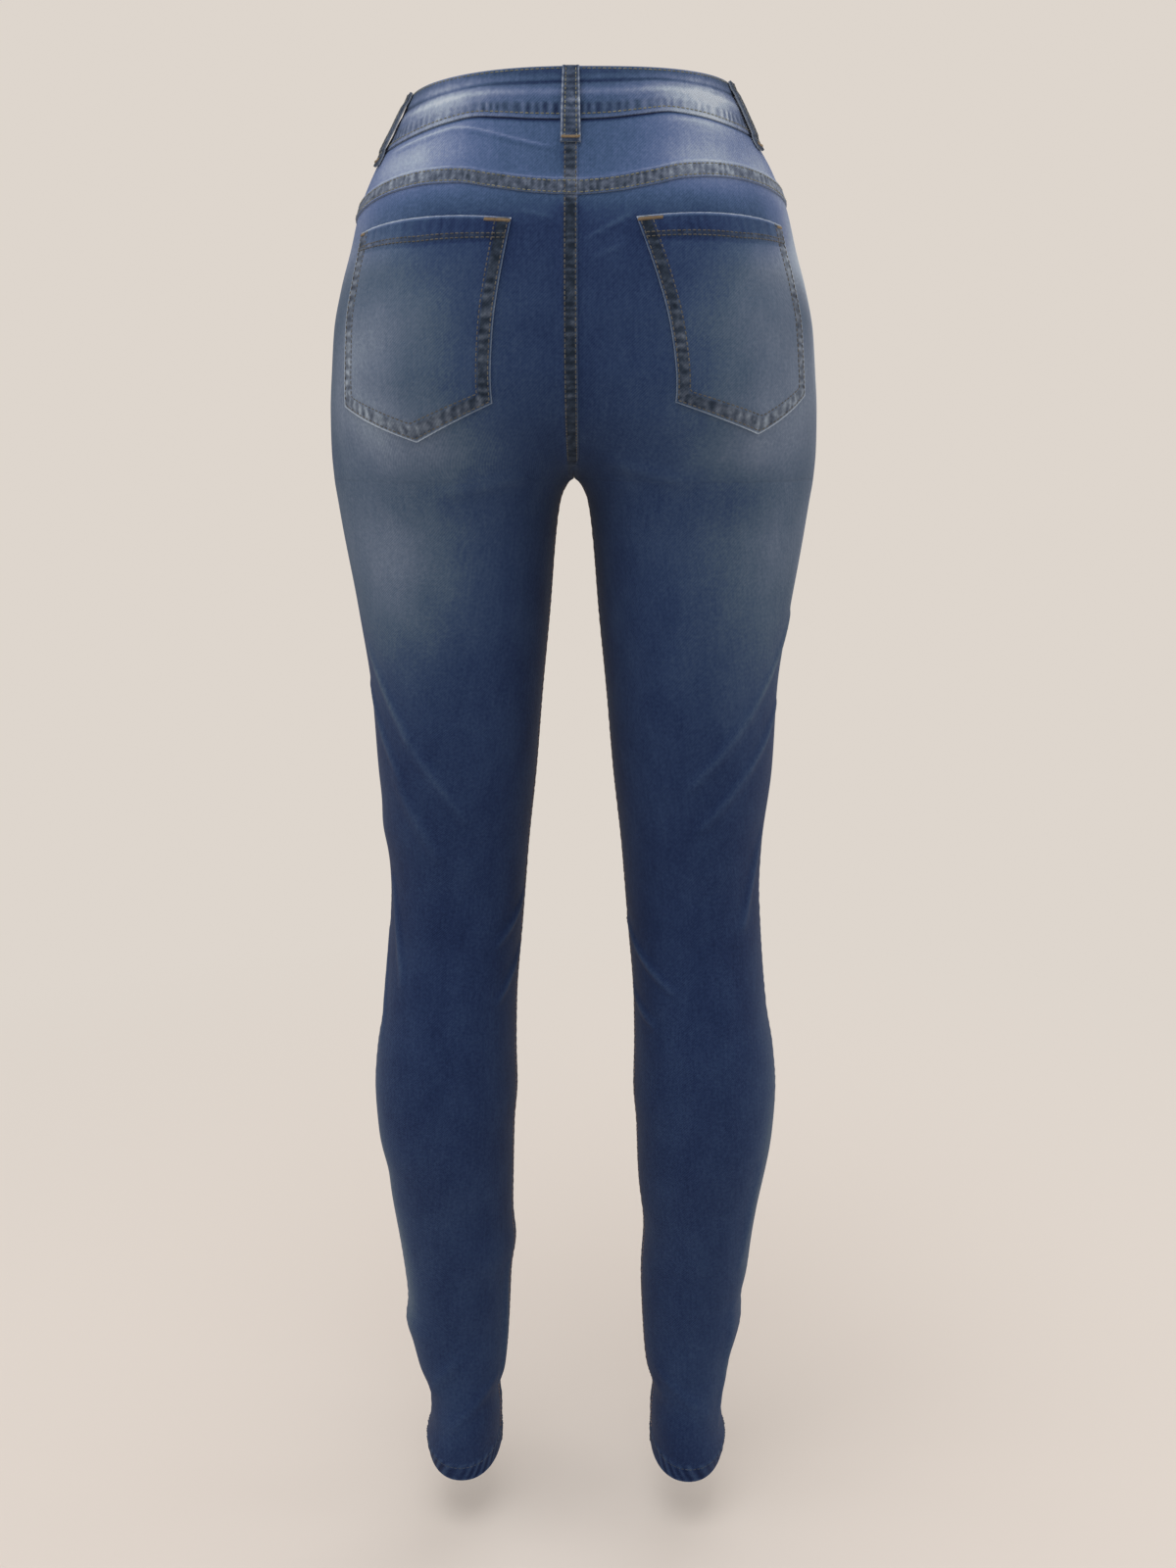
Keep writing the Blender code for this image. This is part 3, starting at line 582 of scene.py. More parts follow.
def yoke_surface(side, z, share):
    """A yoke's lift, its wear with painted highlight and shade, and its seams. Its lower edge laps over the
    back panel.
    """
    way = girth(z, BACK)
    centre, edge = share * way, (1 - share) * way
    above = z - level_at(YOKE_SEAM, side, share, BACK)
    below_band = level_at(WAIST_SEAM, side, share, BACK) - z
    worn = faded_and_painted_light(side, BACK, z, np.abs(share))
    lift, wear, seam = felled(above, centre, 2.0 + side)
    # Painted highlight: the pale line along the seam's upper edge, where light from above catches the raised
    # step; a paler line also runs along the yoke's lower edge.
    worn += wear + 0.20 * bump(above - SEAM_LAP - 0.6, 0.9) + 0.12 * bump(above + SEAM_LAP - 0.5, 0.9)
    if side == LEFT:
        more, wear, between = centre_seam(centre, z)
        lift, worn, seam = lift + more, worn + wear, np.maximum(seam, between)
    lift -= 0.5 * bump(edge, 1.1) + 0.7 * bump(below_band, 1.6)
    # Painted shadow: the dark line on the yoke just under the waistband's proud lower edge.
    worn -= 0.55 * bump(below_band - 0.3, 2.6)
    crease = CREASES[side]
    off = below_band - np.interp(share, crease.shares, crease.depths)
    reach = ease((share - crease.shares[0]) / 0.12) * ease((crease.shares[-1] - share) / 0.12)
    lift += crease.height * reach * bump(off, 3.0)
    # Painted highlight along the crease's upper side and painted shade just under it.
    worn += reach * crease.worn * (bump(off + 0.6, 1.1) - 0.3 * bump(off - 2.4, 2.0))
    return lift, worn, seam


# Each back pocket's corners: how far round the back each is from the centre to the side, and its height. The
# sides bow in from the mouth to the low corners.
CORNERS = {
    LEFT: {
        "inner_top": (0.165, -65.0),
        "outer_top": (0.69, -69.0),
        "inner_low": (0.205, -175.0),
        "outer_low": (0.65, -177.0),
        "tip": (0.425, -199.0),
    },
    RIGHT: {
        "inner_top": (0.186, -64.5),
        "outer_top": (0.69, -64.5),
        "inner_low": (0.272, -174.5),
        "outer_low": (0.685, -170.0),
        "tip": (0.507, -194.0),
    },
}
POCKET_ARCH = 3.0
POCKET_BOW = 1.8
POCKET_TALL = 115.0
POCKET_LIFT = 1.55
POCKET_CLOTH = 1.1
POCKET_MOUTH = 12.6
POCKET_MOUTH_ROWS = (10.0, 12.4)
POCKET_ROWS = (1.6, 8.4)


def pocket_sides(side, down):
    """How far round a pocket's inner and outer edges are, this far down it."""
    corner = CORNERS[side]
    inner, inner_low = corner["inner_top"][0], corner["inner_low"][0]
    outer, outer_low = corner["outer_top"][0], corner["outer_low"][0]
    bowed = 1 - (1 - np.clip(down, 0, 1)) ** POCKET_BOW
    return inner + (inner_low - inner) * bowed, outer + (outer_low - outer) * bowed


def pocket_tip(side):
    """How far across its foot a pocket's tip is."""
    corner = CORNERS[side]
    inner = corner["inner_low"][0]
    return (corner["tip"][0] - inner) / (corner["outer_low"][0] - inner)


def pocket_place(side, across, down):
    """Height and share on a pocket, from how far across and down it a point is, each from 0 to 1."""
    corner = CORNERS[side]
    top = corner["inner_top"][1] + (corner["outer_top"][1] - corner["inner_top"][1]) * across
    top += POCKET_ARCH * 4 * across * (1 - across)
    foot = (corner["inner_low"][1], corner["tip"][1], corner["outer_low"][1])
    z = top + (np.interp(across, (0, pocket_tip(side), 1), foot) - top) * down
    inner, outer = pocket_sides(side, down)
    return z, inner + (outer - inner) * across


def pocket_surface(side, across, down):
    """A pocket's lift, its wear with a painted shadow under the mouth's hem, and its seams."""
    z, share = pocket_place(side, across, down)
    inner, outer = pocket_sides(side, down)
    wide = (outer - inner) * girth(z, BACK)
    from_inner, from_outer = across * wide, (1 - across) * wide
    from_top, from_low = down * POCKET_TALL, (1 - down) * POCKET_TALL * 0.96
    from_edge = np.minimum(np.minimum(from_inner, from_outer), from_low)
    worn = faded_and_painted_light(side, BACK, z, share)
    beside = ease((POCKET_ROWS[1] + 0.8 - from_edge) / 1.6) * ease((from_edge - 0.6) / 1.5)
    sideways = from_low < np.minimum(from_inner, from_outer)
    ripple = puckers(np.where(sideways, across * wide, z), 6.8, side + 2.0 * (across > 0.5))
    lift = POCKET_LIFT + 0.30 * beside * ripple - 0.25 * bump(from_edge - POCKET_ROWS[1] - 1, 1.6)
    worn += beside * (0.15 * ripple - 0.02) + 0.42 * bump(from_edge, 1.0)
    in_mouth = ease((POCKET_MOUTH + 0.5 - from_top) / 1.2)
    ripple = puckers(across * wide, 7.5, 4.0 + side)
    lift += in_mouth * (0.35 + 0.15 * ripple) + 0.5 * in_mouth * np.sin(math.pi * np.clip(across, 0, 1))
    worn += in_mouth * (0.04 * ripple - 0.05) + 0.75 * bump(from_top - 0.2, 1.2)
    # Painted shadow: a dark line just under the raised hem of the pocket's mouth.
    worn -= 0.10 * bump(from_top - POCKET_MOUTH - 1.6, 1.8)
    return lift, worn, np.maximum(beside, 0.7 * bump(from_top - 11.2, 2.2))


# The waistband, lapped at the centre front: the left end lies over the right one.
LAP = 16.0
UNDER_LAP = 14.0
LAP_LIFTS_FROM = 0.31
LAP_LIFTED_AT = 0.07
BAND_TOP_ROW = 1.6
BAND_LOW_ROW = 2.6


def band_surface(side, back, z, share):
    """The waistband's lift, its wear with painted shade, and its seams."""
    high, low = level_at(WAIST_TOP, side, share, back), level_at(WAIST_SEAM, side, share, back)
    down = (high - z) / (high - low)
    above_low = z - low
    way = girth(z, back)
    round_it = np.where(back, share * way, girth(z, BACK) + (1 - share) * way) * side
    worn = faded_and_painted_light(side, back, z, np.abs(share))
    lapping = 0.0
    if side == LEFT and not back:
        lapping = ease((LAP_LIFTS_FROM - share) / (LAP_LIFTS_FROM - LAP_LIFTED_AT))
        lapping *= WAISTBAND_CLOTH + LAY_GAP
    lift = WAISTBAND_PROUD + lapping + 0.25 * np.sin(math.pi * np.clip(down, 0, 1))
    crease = 0.30 + 0.03 * np.sin(round_it / 60)
    roping = ease((down - 0.66) / 0.10) * ease((above_low - 1.0) / 2.5)
    ripple = puckers(round_it, 5.7, 0.6) * (0.7 + 0.3 * np.sin(round_it / 23 + 1.0))
    lift += -0.35 * bump(down - crease, 0.10) + 0.25 * bump(down - 0.52, 0.14) + 0.20 * roping * ripple
    # Painted shade: the dark line in the crease a third of the way down, and the darker strip under the top
    # fold.
    worn += -0.30 * bump(down - crease, 0.06) - 0.16 * bump(down - 0.10, 0.14)
    worn += 0.20 * bump(down - 0.50, 0.12) + roping * (0.26 * ripple - 0.10)
    worn += 0.16 * bump(above_low - 0.5, 0.9) + 0.10 * bump(high - z, 0.8)
    lift -= 0.35 * (bump(above_low, 0.8) + bump(high - z, 0.8))
    return lift, worn, 0.10 + 0.25 * ease(np.abs(share) / 0.6) + 0.20 * roping


def placed(name, data):
    """A new object in the scene."""
    made = bpy.data.objects.new(name, data)
    bpy.context.scene.collection.objects.link(made)
    return made


def fresh_mesh(name, points, faces, finish):
    """An object from points in millimetres."""
    mesh = bpy.data.meshes.new(name)
    mesh.from_pydata((points * MM).tolist(), [], faces)
    mesh.shade_smooth()
    mesh.materials.append(finish)
    return placed(name, mesh)


INNER_STEP = 3
EVERY = np.s_[::INNER_STEP, ::INNER_STEP]
SHARP_FROM = math.radians(50)


def shell(name, outer, inner, worn, seam, cloth_uv, finish):
    """A closed shell of cloth. The inner skin has every third row and column of the outer one, and the rim
    joins the two. Both grids hold points in millimetres."""
    rows, columns = outer.shape[:2]
    number = np.arange(rows * columns).reshape(rows, columns)
    inside = rows * columns + np.arange(inner.shape[0] * inner.shape[1]).reshape(inner.shape[:2])
    faces = []
    for quads in (
        (number[:-1, :-1], number[:-1, 1:], number[1:, 1:], number[1:, :-1]),
        (inside[:-1, :-1], inside[1:, :-1], inside[1:, 1:], inside[:-1, 1:]),
    ):
        faces += np.stack([part.ravel() for part in quads], axis=1).tolist()
    for fine, coarse in (
        (number[0], inside[0]),
        (number[:, -1], inside[:, -1]),
        (number[-1, ::-1], inside[-1, ::-1]),
        (number[::-1, 0], inside[::-1, 0]),
    ):
        for k in range(len(coarse) - 1):
            run = fine[INNER_STEP * k:INNER_STEP * k + INNER_STEP + 1][::-1]
            faces.append([*run.tolist(), int(coarse[k]), int(coarse[k + 1])])
    a, b = outer[:-1, 1:] - outer[:-1, :-1], outer[1:, :-1] - outer[:-1, :-1]
    outwards = outer[:-1, :-1][EVERY] - inner[:-1, :-1]
    if (np.cross(a, b)[EVERY] * outwards).sum() < 0:
        faces = [face[::-1] for face in faces]
    made = fresh_mesh(name, np.concatenate([outer.reshape(-1, 3), inner.reshape(-1, 3)]), faces, finish)
    mesh = made.data
    wrong_side = np.repeat([0.0, 1.0], [outer[..., 0].size, inner[..., 0].size])
    for key, values in (
        ("wash_and_painted_light", np.concatenate([worn.ravel(), worn[EVERY].ravel()])),
        ("seam", np.concatenate([seam.ravel(), seam[EVERY].ravel()])),
        ("inside", wrong_side),
    ):
        layer = mesh.attributes.new(key, "FLOAT", "POINT")
        layer.data.foreach_set("value", values.astype(np.float32))
    corner = np.zeros(len(mesh.loops), np.int32)
    mesh.loops.foreach_get("vertex_index", corner)
    flat = np.concatenate([cloth_uv.reshape(-1, 2), cloth_uv[EVERY].reshape(-1, 2)])
    layer = mesh.uv_layers.new(name="cloth")
    layer.data.foreach_set("uv", (flat[corner] * MM).astype(np.float32).ravel())
    mesh.set_sharp_from_angle(angle=SHARP_FROM)
    return made


def cloth_place(side, back, z, share):
    """Where each point lies on the cloth, in millimetres."""
    return np.stack([share * girth(z, back) * side, z], axis=2)


def laid(name, side, back, z, share, surface, thickness, finish):
    """A shell over the figure, from its surface's lift, its wear with painted light and shade, and its seams.
    """
    lift, worn, seam = surface
    outer = on_figure(side, back, z, share, lift)[0]
    inner = on_figure(side, back, z[EVERY], share[EVERY], (lift - thickness)[EVERY])[0]
    return shell(name, outer, inner, worn, seam, cloth_place(side, back, z, share), finish)


def runs(*ends):
    """Steps from each end to the next: pairs of an end and how many steps lead to it."""
    start, steps = ends[0], [np.array(ends[:1], float)]
    for end, count in ends[1:]:
        steps.append(np.linspace(start, end, count)[1:])
        start = end
    return np.concatenate(steps)


def grid(across, down):
    """The way across and the way down at every place of a grid."""
    return np.broadcast_arrays(across[None, :], down[:, None])


def panel(side, back, word, finish):
    """A leg panel, from the yoke or the waist down to the hem."""
    shares = runs(0, (0.06, 11), (0.96, 78), (1, 7))
    if back:
        top = level_at(YOKE_SEAM, side, shares, BACK)
        levels = runs(-46, (CROTCH, 145), (HEM[0], 421))
    else:
        top = level_at(WAIST_SEAM, side, shares, back) - SEAM_GAP / 2
        levels = runs(-4, (CROTCH, 139), (HEM[0], 340))
    z = rows_between(levels, top, hem_level(shares, back))
    way = girth(z, back)
    lapped = ease((z - LAP_ENDS) / LAP_FADES_OVER) if side == LEFT else 0.0
    start = (SEAM_GAP / 2 * (1 - lapped) - SEAM_LAP * lapped) / way
    end = 1 - SEAM_GAP / 2 / way
    share = start + shares[None, :] * (end - start)
    in_hem = ease((HEM_DEPTH - z + hem_level(np.abs(share), back)) / 1.6)
    thickness = CLOTH + (HEM_CLOTH - CLOTH) * in_hem
    name = ("back_leg_" if back else "front_leg_") + word
    return laid(name, side, back, z, share, panel_surface(side, back, z, share), thickness, finish)


def yoke(side, word, finish):
    shares = runs(0, (0.08, 13), (0.97, 121), (1, 7))
    low = level_at(YOKE_SEAM, side, shares, BACK) - SEAM_LAP
    high = level_at(WAIST_SEAM, side, shares, BACK) - SEAM_GAP / 2
    z = high + np.linspace(0, 1, 46)[:, None] * (low - high)
    way = girth(z, BACK)
    start = (-SEAM_LAP if side == LEFT else SEAM_GAP / 2) / way
    share = start + shares[None, :] * (1 - SEAM_GAP / 2 / way - start)
    return laid("yoke_cloth_" + word, side, BACK, z, share, yoke_surface(side, z, share), CLOTH, finish)


def pocket(side, word, finish):
    places = grid(np.linspace(0, 1, 103), np.linspace(0, 1, 118))
    z, share = pocket_place(side, *places)
    surface = pocket_surface(side, *places)
    return laid("pocket_cloth_" + word, side, BACK, z, share, surface, POCKET_CLOTH, finish)


def waistband(finish):
    """The waistband, run round from its lapped end to the other one."""
    way = float(girth(WAIST_TOP.front_centre, FRONT))
    grids = []
    for side, back, shares in (
        (LEFT, FRONT, np.linspace(-LAP / way, 1, 172)),
        (LEFT, BACK, np.linspace(1, 0, 160)[1:]),
        (RIGHT, BACK, np.linspace(0, 1, 160)[1:]),
        (RIGHT, FRONT, np.linspace(1, -UNDER_LAP / way, 172)[1:]),
    ):
        low = level_at(WAIST_SEAM, side, shares, back) + SEAM_GAP / 2
        high = level_at(WAIST_TOP, side, shares, back)
        z = high + np.linspace(0, 1, 31)[:, None] * (low - high)
        share = np.broadcast_to(shares, z.shape)
        lift, worn, seam = band_surface(side, back, z, share)
        outer = on_figure(side, back, z, share, lift)[0]
        inner = on_figure(side, back, z, share, lift - WAISTBAND_CLOTH)[0]
        grids.append((outer, inner, worn, seam, cloth_place(side, back, z, share)))
    grids = [np.concatenate(part, axis=1) for part in zip(*grids)]
    columns = (grids[0].shape[1] - 1) // INNER_STEP * INNER_STEP + 1
    kept = np.r_[0:columns - 1, grids[0].shape[1] - 1]
    outer, inner, worn, seam, flat = (part[:, kept] for part in grids)
    return shell("waistband_cloth", outer, inner[EVERY], worn, seam, flat, finish)


# Belt loops: name, side, back or front, how far round it is, how far it stands off and how far it reaches
# below the waist seam
LOOPS = (
    ("loop_back", LEFT, BACK, 0.0, 2.6, 15.0),
    ("loop_left", LEFT, BACK, 0.80, 1.2, 9.0),
    ("loop_right", RIGHT, BACK, 0.80, 1.2, 9.0),
    ("loop_front_left", LEFT, FRONT, 0.5, 3.0, 11.0),
    ("loop_front_right", RIGHT, FRONT, 0.5, 3.0, 11.0),
)
LOOP_WIDTH = 10.5
LOOP_CLOTH = 1.6
LOOP_ABOVE = -1.0
LOOP_ROW = 3.1
LOOPS_DARKER_FROM = 0.7
# How far down a loop each step is, and how much of the full distance it stands off there
LOOP_STEPS = (
    (0.0, 0.0), (0.1, 0.0), (0.2, 0.7), (0.4, 1.0), (0.6, 1.0), (0.78, 0.6), (0.9, 0.0), (1.0, 0.0)
)


def loop_place(side, back, share, stands_off, below, across, down):
    """Height, share and lift on a belt loop, from the distance across its middle line and the way down it."""
    high = float(level_at(WAIST_TOP, side, share, back)) + LOOP_ABOVE
    low = float(level_at(WAIST_SEAM, side, share, back)) - below
    z = high + (low - high) * down
    steps = np.array(LOOP_STEPS)
    stands = stands_off * smooth(steps[:, 0], steps[:, 1], down)
    on_band = ease((z - low - below + 2.5) / 2.5)
    rolled = 0.35 * bump(np.abs(across) - 4.3, 1.2) - 0.2 * bump(np.abs(across) - LOOP_ROW, 0.8)
    lift = WAISTBAND_PROUD * on_band + LAY_GAP + stands + LOOP_CLOTH + rolled
    return z, share + across / float(girth(high, back)), lift


def belt_loop(name, side, back, share, stands_off, below, finish):
    across, down = grid(np.linspace(-LOOP_WIDTH / 2, LOOP_WIDTH / 2, 22), np.linspace(0, 1, 73))
    z, shares, lift = loop_place(side, back, share, stands_off, below, across, down)
    ripple = puckers(z, 4.3, share * 3 + side)
    worn = 0.28 + 0.14 * ripple + 0.45 * bump(np.abs(across) - 4.9, 0.9) + 0.12 * bump(down - 0.5, 0.3)
    if share > LOOPS_DARKER_FROM:
        worn = 0.5 * worn
    surface = lift, worn, np.full(z.shape, 0.8)
    return laid(name + "_cloth", side, back, z, shares, surface, LOOP_CLOTH, finish)


# The closed fly: a strip on the left front whose inner edge laps over the centre and whose foot curves in
FLY_OVER = -5.0
FLY_WIDTH = 38.0
FLY_FOOT = -150.0
FLY_CURVE = 34.0
FLY_FOOT_WIDTH = 8.0
FLY_CLOTH = 0.9


def fly_place(across, down):
    """Height and share on the fly."""
    top = WAIST_SEAM.front_centre - 1.0
    z = top + (FLY_FOOT - top) * down
    foot = np.clip((FLY_FOOT + FLY_CURVE - z) / FLY_CURVE, 0, 1)
    width = FLY_FOOT_WIDTH + (FLY_WIDTH - FLY_FOOT_WIDTH) * np.sqrt(1 - foot**2)
    return z, (FLY_OVER + across * (width - FLY_OVER)) / girth(z, FRONT)


def fly_surface(across, down):
    """The fly's lift, wear and seams."""
    z, share = fly_place(across, down)
    ripple = puckers(z, 7.5, 1.4)
    near = bump(across - 0.9, 0.16)
    lift = LAY_GAP + SEAM_RISE + 0.35 + 0.18 * ripple * near
    worn = faded_and_painted_light(LEFT, FRONT, z, np.abs(share)) + 0.30 * bump(across, 0.03) + 0.07 * ripple * near
    return lift, worn + 0.16 * bump(across - 1, 0.03), 0.6 * near


def fly(finish):
    places = grid(np.linspace(0, 1, 43), 1 - (1 - np.linspace(0, 1, 106)) ** 1.3)
    z, share = fly_place(*places)
    return laid("fly_cloth", LEFT, FRONT, z, share, fly_surface(*places), FLY_CLOTH, finish)


# Thread. A stitch is a short rod that dips into the cloth at both ends. Its rings each have a place along it,
# a size and a height, as parts of its length and of the thread's radius.
STITCH_PITCH = 3.2
STITCH_LENGTH = 2.5
THREAD = 0.38
TACK_PITCH = 0.62
TACK_WIDTH = 1.9
TACK_LEAN = 0.3
STITCH_RINGS = ((0.0, 0.3, -1.1), (0.1, 0.9, 0.1), (0.5, 1.0, 0.45), (0.9, 0.9, 0.1), (1.0, 0.3, -1.1))
STITCH_SIDES = 4


def at_way(values, way, at):
    """Points or normals of a row, read this far along it."""
    return np.stack([np.interp(at, way, values[:, k]) for k in range(3)], axis=1)


def sewn(points, normals, pitch=STITCH_PITCH, length=STITCH_LENGTH):
    """The starts, ends and normals of the stitches along a row."""
    way = lengths_along(points[None])[0]
    starts = np.arange(0.4, way[-1] - length, pitch)
    ends = starts + length
    return at_way(points, way, starts), at_way(points, way, ends), at_way(normals, way, starts + length / 2)


def tacked(points, normals, width=TACK_WIDTH):
    """A bar tack: close stitches across a short line."""
    way = lengths_along(points[None])[0]
    at = np.arange(0, way[-1], TACK_PITCH)
    middle, facing = at_way(points, way, at), at_way(normals, way, at)
    across = np.cross(facing, points[-1] - points[0])
    across *= width / 2 / np.linalg.norm(across, axis=1, keepdims=True)
    lean = TACK_LEAN * (points[-1] - points[0]) / max(way[-1], 1.0)
    return middle - across - lean, middle + across + lean, facing


def threads(name, stitches, radius, finish):
    """One object for many stitches."""
    starts, ends, facing = (np.concatenate(part) for part in zip(*stitches))
    along = ends - starts
    facing = facing / np.linalg.norm(facing, axis=1, keepdims=True)
    across = np.cross(facing, along)
    across /= np.linalg.norm(across, axis=1, keepdims=True)
    rings = []
    for t, size, height in STITCH_RINGS:
        centre = starts + along * t + facing * height * radius
        for turn in np.arange(STITCH_SIDES) * 2 * math.pi / STITCH_SIDES:
            rings.append(centre + radius * size * (across * math.cos(turn) + facing * math.sin(turn)))
    points = np.stack(rings, axis=1)
    each = len(STITCH_RINGS) * STITCH_SIDES
    pattern = []
    for ring in range(len(STITCH_RINGS) - 1):
        for k in range(STITCH_SIDES):
            a, b = ring * STITCH_SIDES + k, ring * STITCH_SIDES + (k + 1) % STITCH_SIDES
            pattern.append((a, b, b + STITCH_SIDES, a + STITCH_SIDES))
    pattern.append(tuple(reversed(range(STITCH_SIDES))))
    pattern.append(tuple(range(each - STITCH_SIDES, each)))
    faces = (np.array(pattern)[None] + each * np.arange(len(starts))[:, None, None]).reshape(-1, 4)
    return fresh_mesh(name, points.reshape(-1, 3), faces.tolist(), finish)


def row_on(surface, side, back, z, share):
    """A stitch row on the cloth that a surface gives at heights and shares."""
    return sewn(*on_figure(side, back, z, share, surface(z, share)[0]))


def centre_seam_rows():
    """The two rows down the felled seam at the centre back, over the yokes and the panels."""
    made = []
    crossing = float(level_at(YOKE_SEAM, LEFT, 0.0, BACK)) - SEAM_LAP
    for off in (SEAM_ROW, -SEAM_ROW):
        for z, surface in (
            (np.linspace(-6, crossing, 60), partial(yoke_surface, LEFT)),
            (np.linspace(crossing - 1, LAP_ENDS + 10, 200), partial(panel_surface, LEFT, BACK)),
        ):
            made.append(row_on(surface, LEFT, BACK, z, off / girth(z, BACK)))
    return made


def yoke_rows(side):
    share = np.linspace(0.025 if side == RIGHT else -0.02, 0.99, 300)
    seam = level_at(YOKE_SEAM, side, share, BACK)
    surface = partial(yoke_surface, side)
    return [row_on(surface, side, BACK, seam + off, share) for off in (SEAM_ROW, -SEAM_ROW)]


def pocket_edge(side, inset):
    """The line round a pocket's sides and foot, from its outer top down and back up, inset from the edge."""
    x, y = inset / 100.0, 1.15 * inset / POCKET_TALL
    corners = np.array([(1 - x, 0.0), (1 - x, 1 - y), (pocket_tip(side), 1 - y), (x, 1 - y), (x, 0.0)])
    at = np.arange(len(corners))
    fine = np.linspace(0, len(corners) - 1, 400)
    return np.interp(fine, at, corners[:, 0]), np.interp(fine, at, corners[:, 1])


def pocket_rows(side):
    made = []
    lines = [pocket_edge(side, inset) for inset in POCKET_ROWS]
    lines += [(np.linspace(0.99, 0.01, 200), np.full(200, row / POCKET_TALL)) for row in POCKET_MOUTH_ROWS]
    for across, down in lines:
        lift = pocket_surface(side, across, down)[0]
        made.append(sewn(*on_figure(side, BACK, *pocket_place(side, across, down), lift)))
    return made


# Bar tacks on a pocket: from how far across to how far across, how far down, and how tall
POCKET_TACKS = ((0.005, 0.14, 0.016, 2.2), (0.945, 0.99, 0.016, 1.7))


def pocket_tacks(side):
    made = []
    for start, end, down, tall in POCKET_TACKS:
        across, down = np.broadcast_arrays(np.linspace(start, end, 40), down)
        lift = pocket_surface(side, across, down)[0] + 0.2
        place = on_figure(side, BACK, *pocket_place(side, across, down), lift)
        made.append(tacked(*place, width=tall))
    return made


def band_rows():
    """The rows along the waistband's top and bottom, from one lapped end round to the other."""
    made = []
    way = float(girth(WAIST_TOP.front_centre, FRONT))
    for side, back, first in (
        (LEFT, BACK, 0), (RIGHT, BACK, 0), (LEFT, FRONT, 2 - LAP), (RIGHT, FRONT, LAP + 1)
    ):
        share = np.linspace(first / way, 1, 500)
        high = level_at(WAIST_TOP, side, share, back) - BAND_TOP_ROW
        low = level_at(WAIST_SEAM, side, share, back) + BAND_LOW_ROW
        made += [row_on(partial(band_surface, side, back), side, back, z, share) for z in (high, low)]
    return made


def hem_rows(side):
    share = np.linspace(0.005, 0.995, 300)
    return [
        row_on(partial(panel_surface, side, back), side, back, hem_level(share, back) + HEM_DEPTH - 2, share)
        for back in (BACK, FRONT)
    ]


def inseam_row(side):
    z = np.linspace(CROTCH - 2, HEM[1] + HEM_DEPTH, 900)
    share = INSEAM_ROW / girth(z, BACK)
    return [row_on(partial(panel_surface, side, BACK), side, BACK, z, share)]


# How far the two rows on the front's pockets and fly lie from the edge
GUESSED_ROWS = (2.0, 7.5)


def scoop_rows(side):
    """The two rows beside the scooped pocket line of the front."""
    made = []
    for off in GUESSED_ROWS:
        turn = np.linspace(0.04, 0.97, 200) * math.pi / 2
        grown = 1 + off / SCOOP_REACH
        share = 1 - SCOOP_SHARE * grown * np.cos(turn)
        z = SCOOP_TOP - SCOOP_DROP * grown * np.sin(turn)
        made.append(row_on(partial(panel_surface, side, FRONT), side, FRONT, z, share))
    return made


def fly_rows():
    made = []
    for inset in GUESSED_ROWS:
        down = np.linspace(0.01, 1 - 0.018 - inset / 160, 300)
        across = np.full(300, 1 - inset / 42.0)
        lift = fly_surface(across, down)[0]
        made.append(sewn(*on_figure(LEFT, FRONT, *fly_place(across, down), lift)))
    return made


def loop_rows():
    """Two rows and the foot's bar tack on every belt loop."""
    rows, tacks = [], []
    for name, *place, below in LOOPS:
        side, back = place[:2]
        down = np.linspace(0.02, 0.98, 120)
        for off in (-LOOP_ROW, LOOP_ROW):
            row = loop_place(*place, below, np.full(120, off), down)
            rows.append(sewn(*on_figure(side, back, *row), pitch=2.9, length=2.2))
        across = np.linspace(-LOOP_WIDTH / 2 + 0.6, LOOP_WIDTH / 2 - 0.6, 40)
        z, shares, lift = loop_place(*place, below, across, np.full(40, 0.94))
        tacks.append(tacked(*on_figure(side, back, z, shares, lift + 0.1)))
    return rows, tacks


# From where to where round the front the buttonhole runs, and half its height
BUTTONHOLE = (-6.0, 11.0)
BUTTONHOLE_RISE = 1.6


def buttonhole():
    """Close stitches round the slot that the button comes through."""
    level = (WAIST_TOP.front_centre + WAIST_SEAM.front_centre) / 2
    middle, half = sum(BUTTONHOLE) / 2, (BUTTONHOLE[1] - BUTTONHOLE[0]) / 2
    turn = np.linspace(0, 2 * math.pi, 120)
    z = level + BUTTONHOLE_RISE * np.sin(turn)
    share = (middle + half * np.cos(turn)) / float(girth(level, FRONT))
    lift = band_surface(LEFT, FRONT, z, share)[0]
    return [tacked(*on_figure(LEFT, FRONT, z, share, lift), width=1.4)]


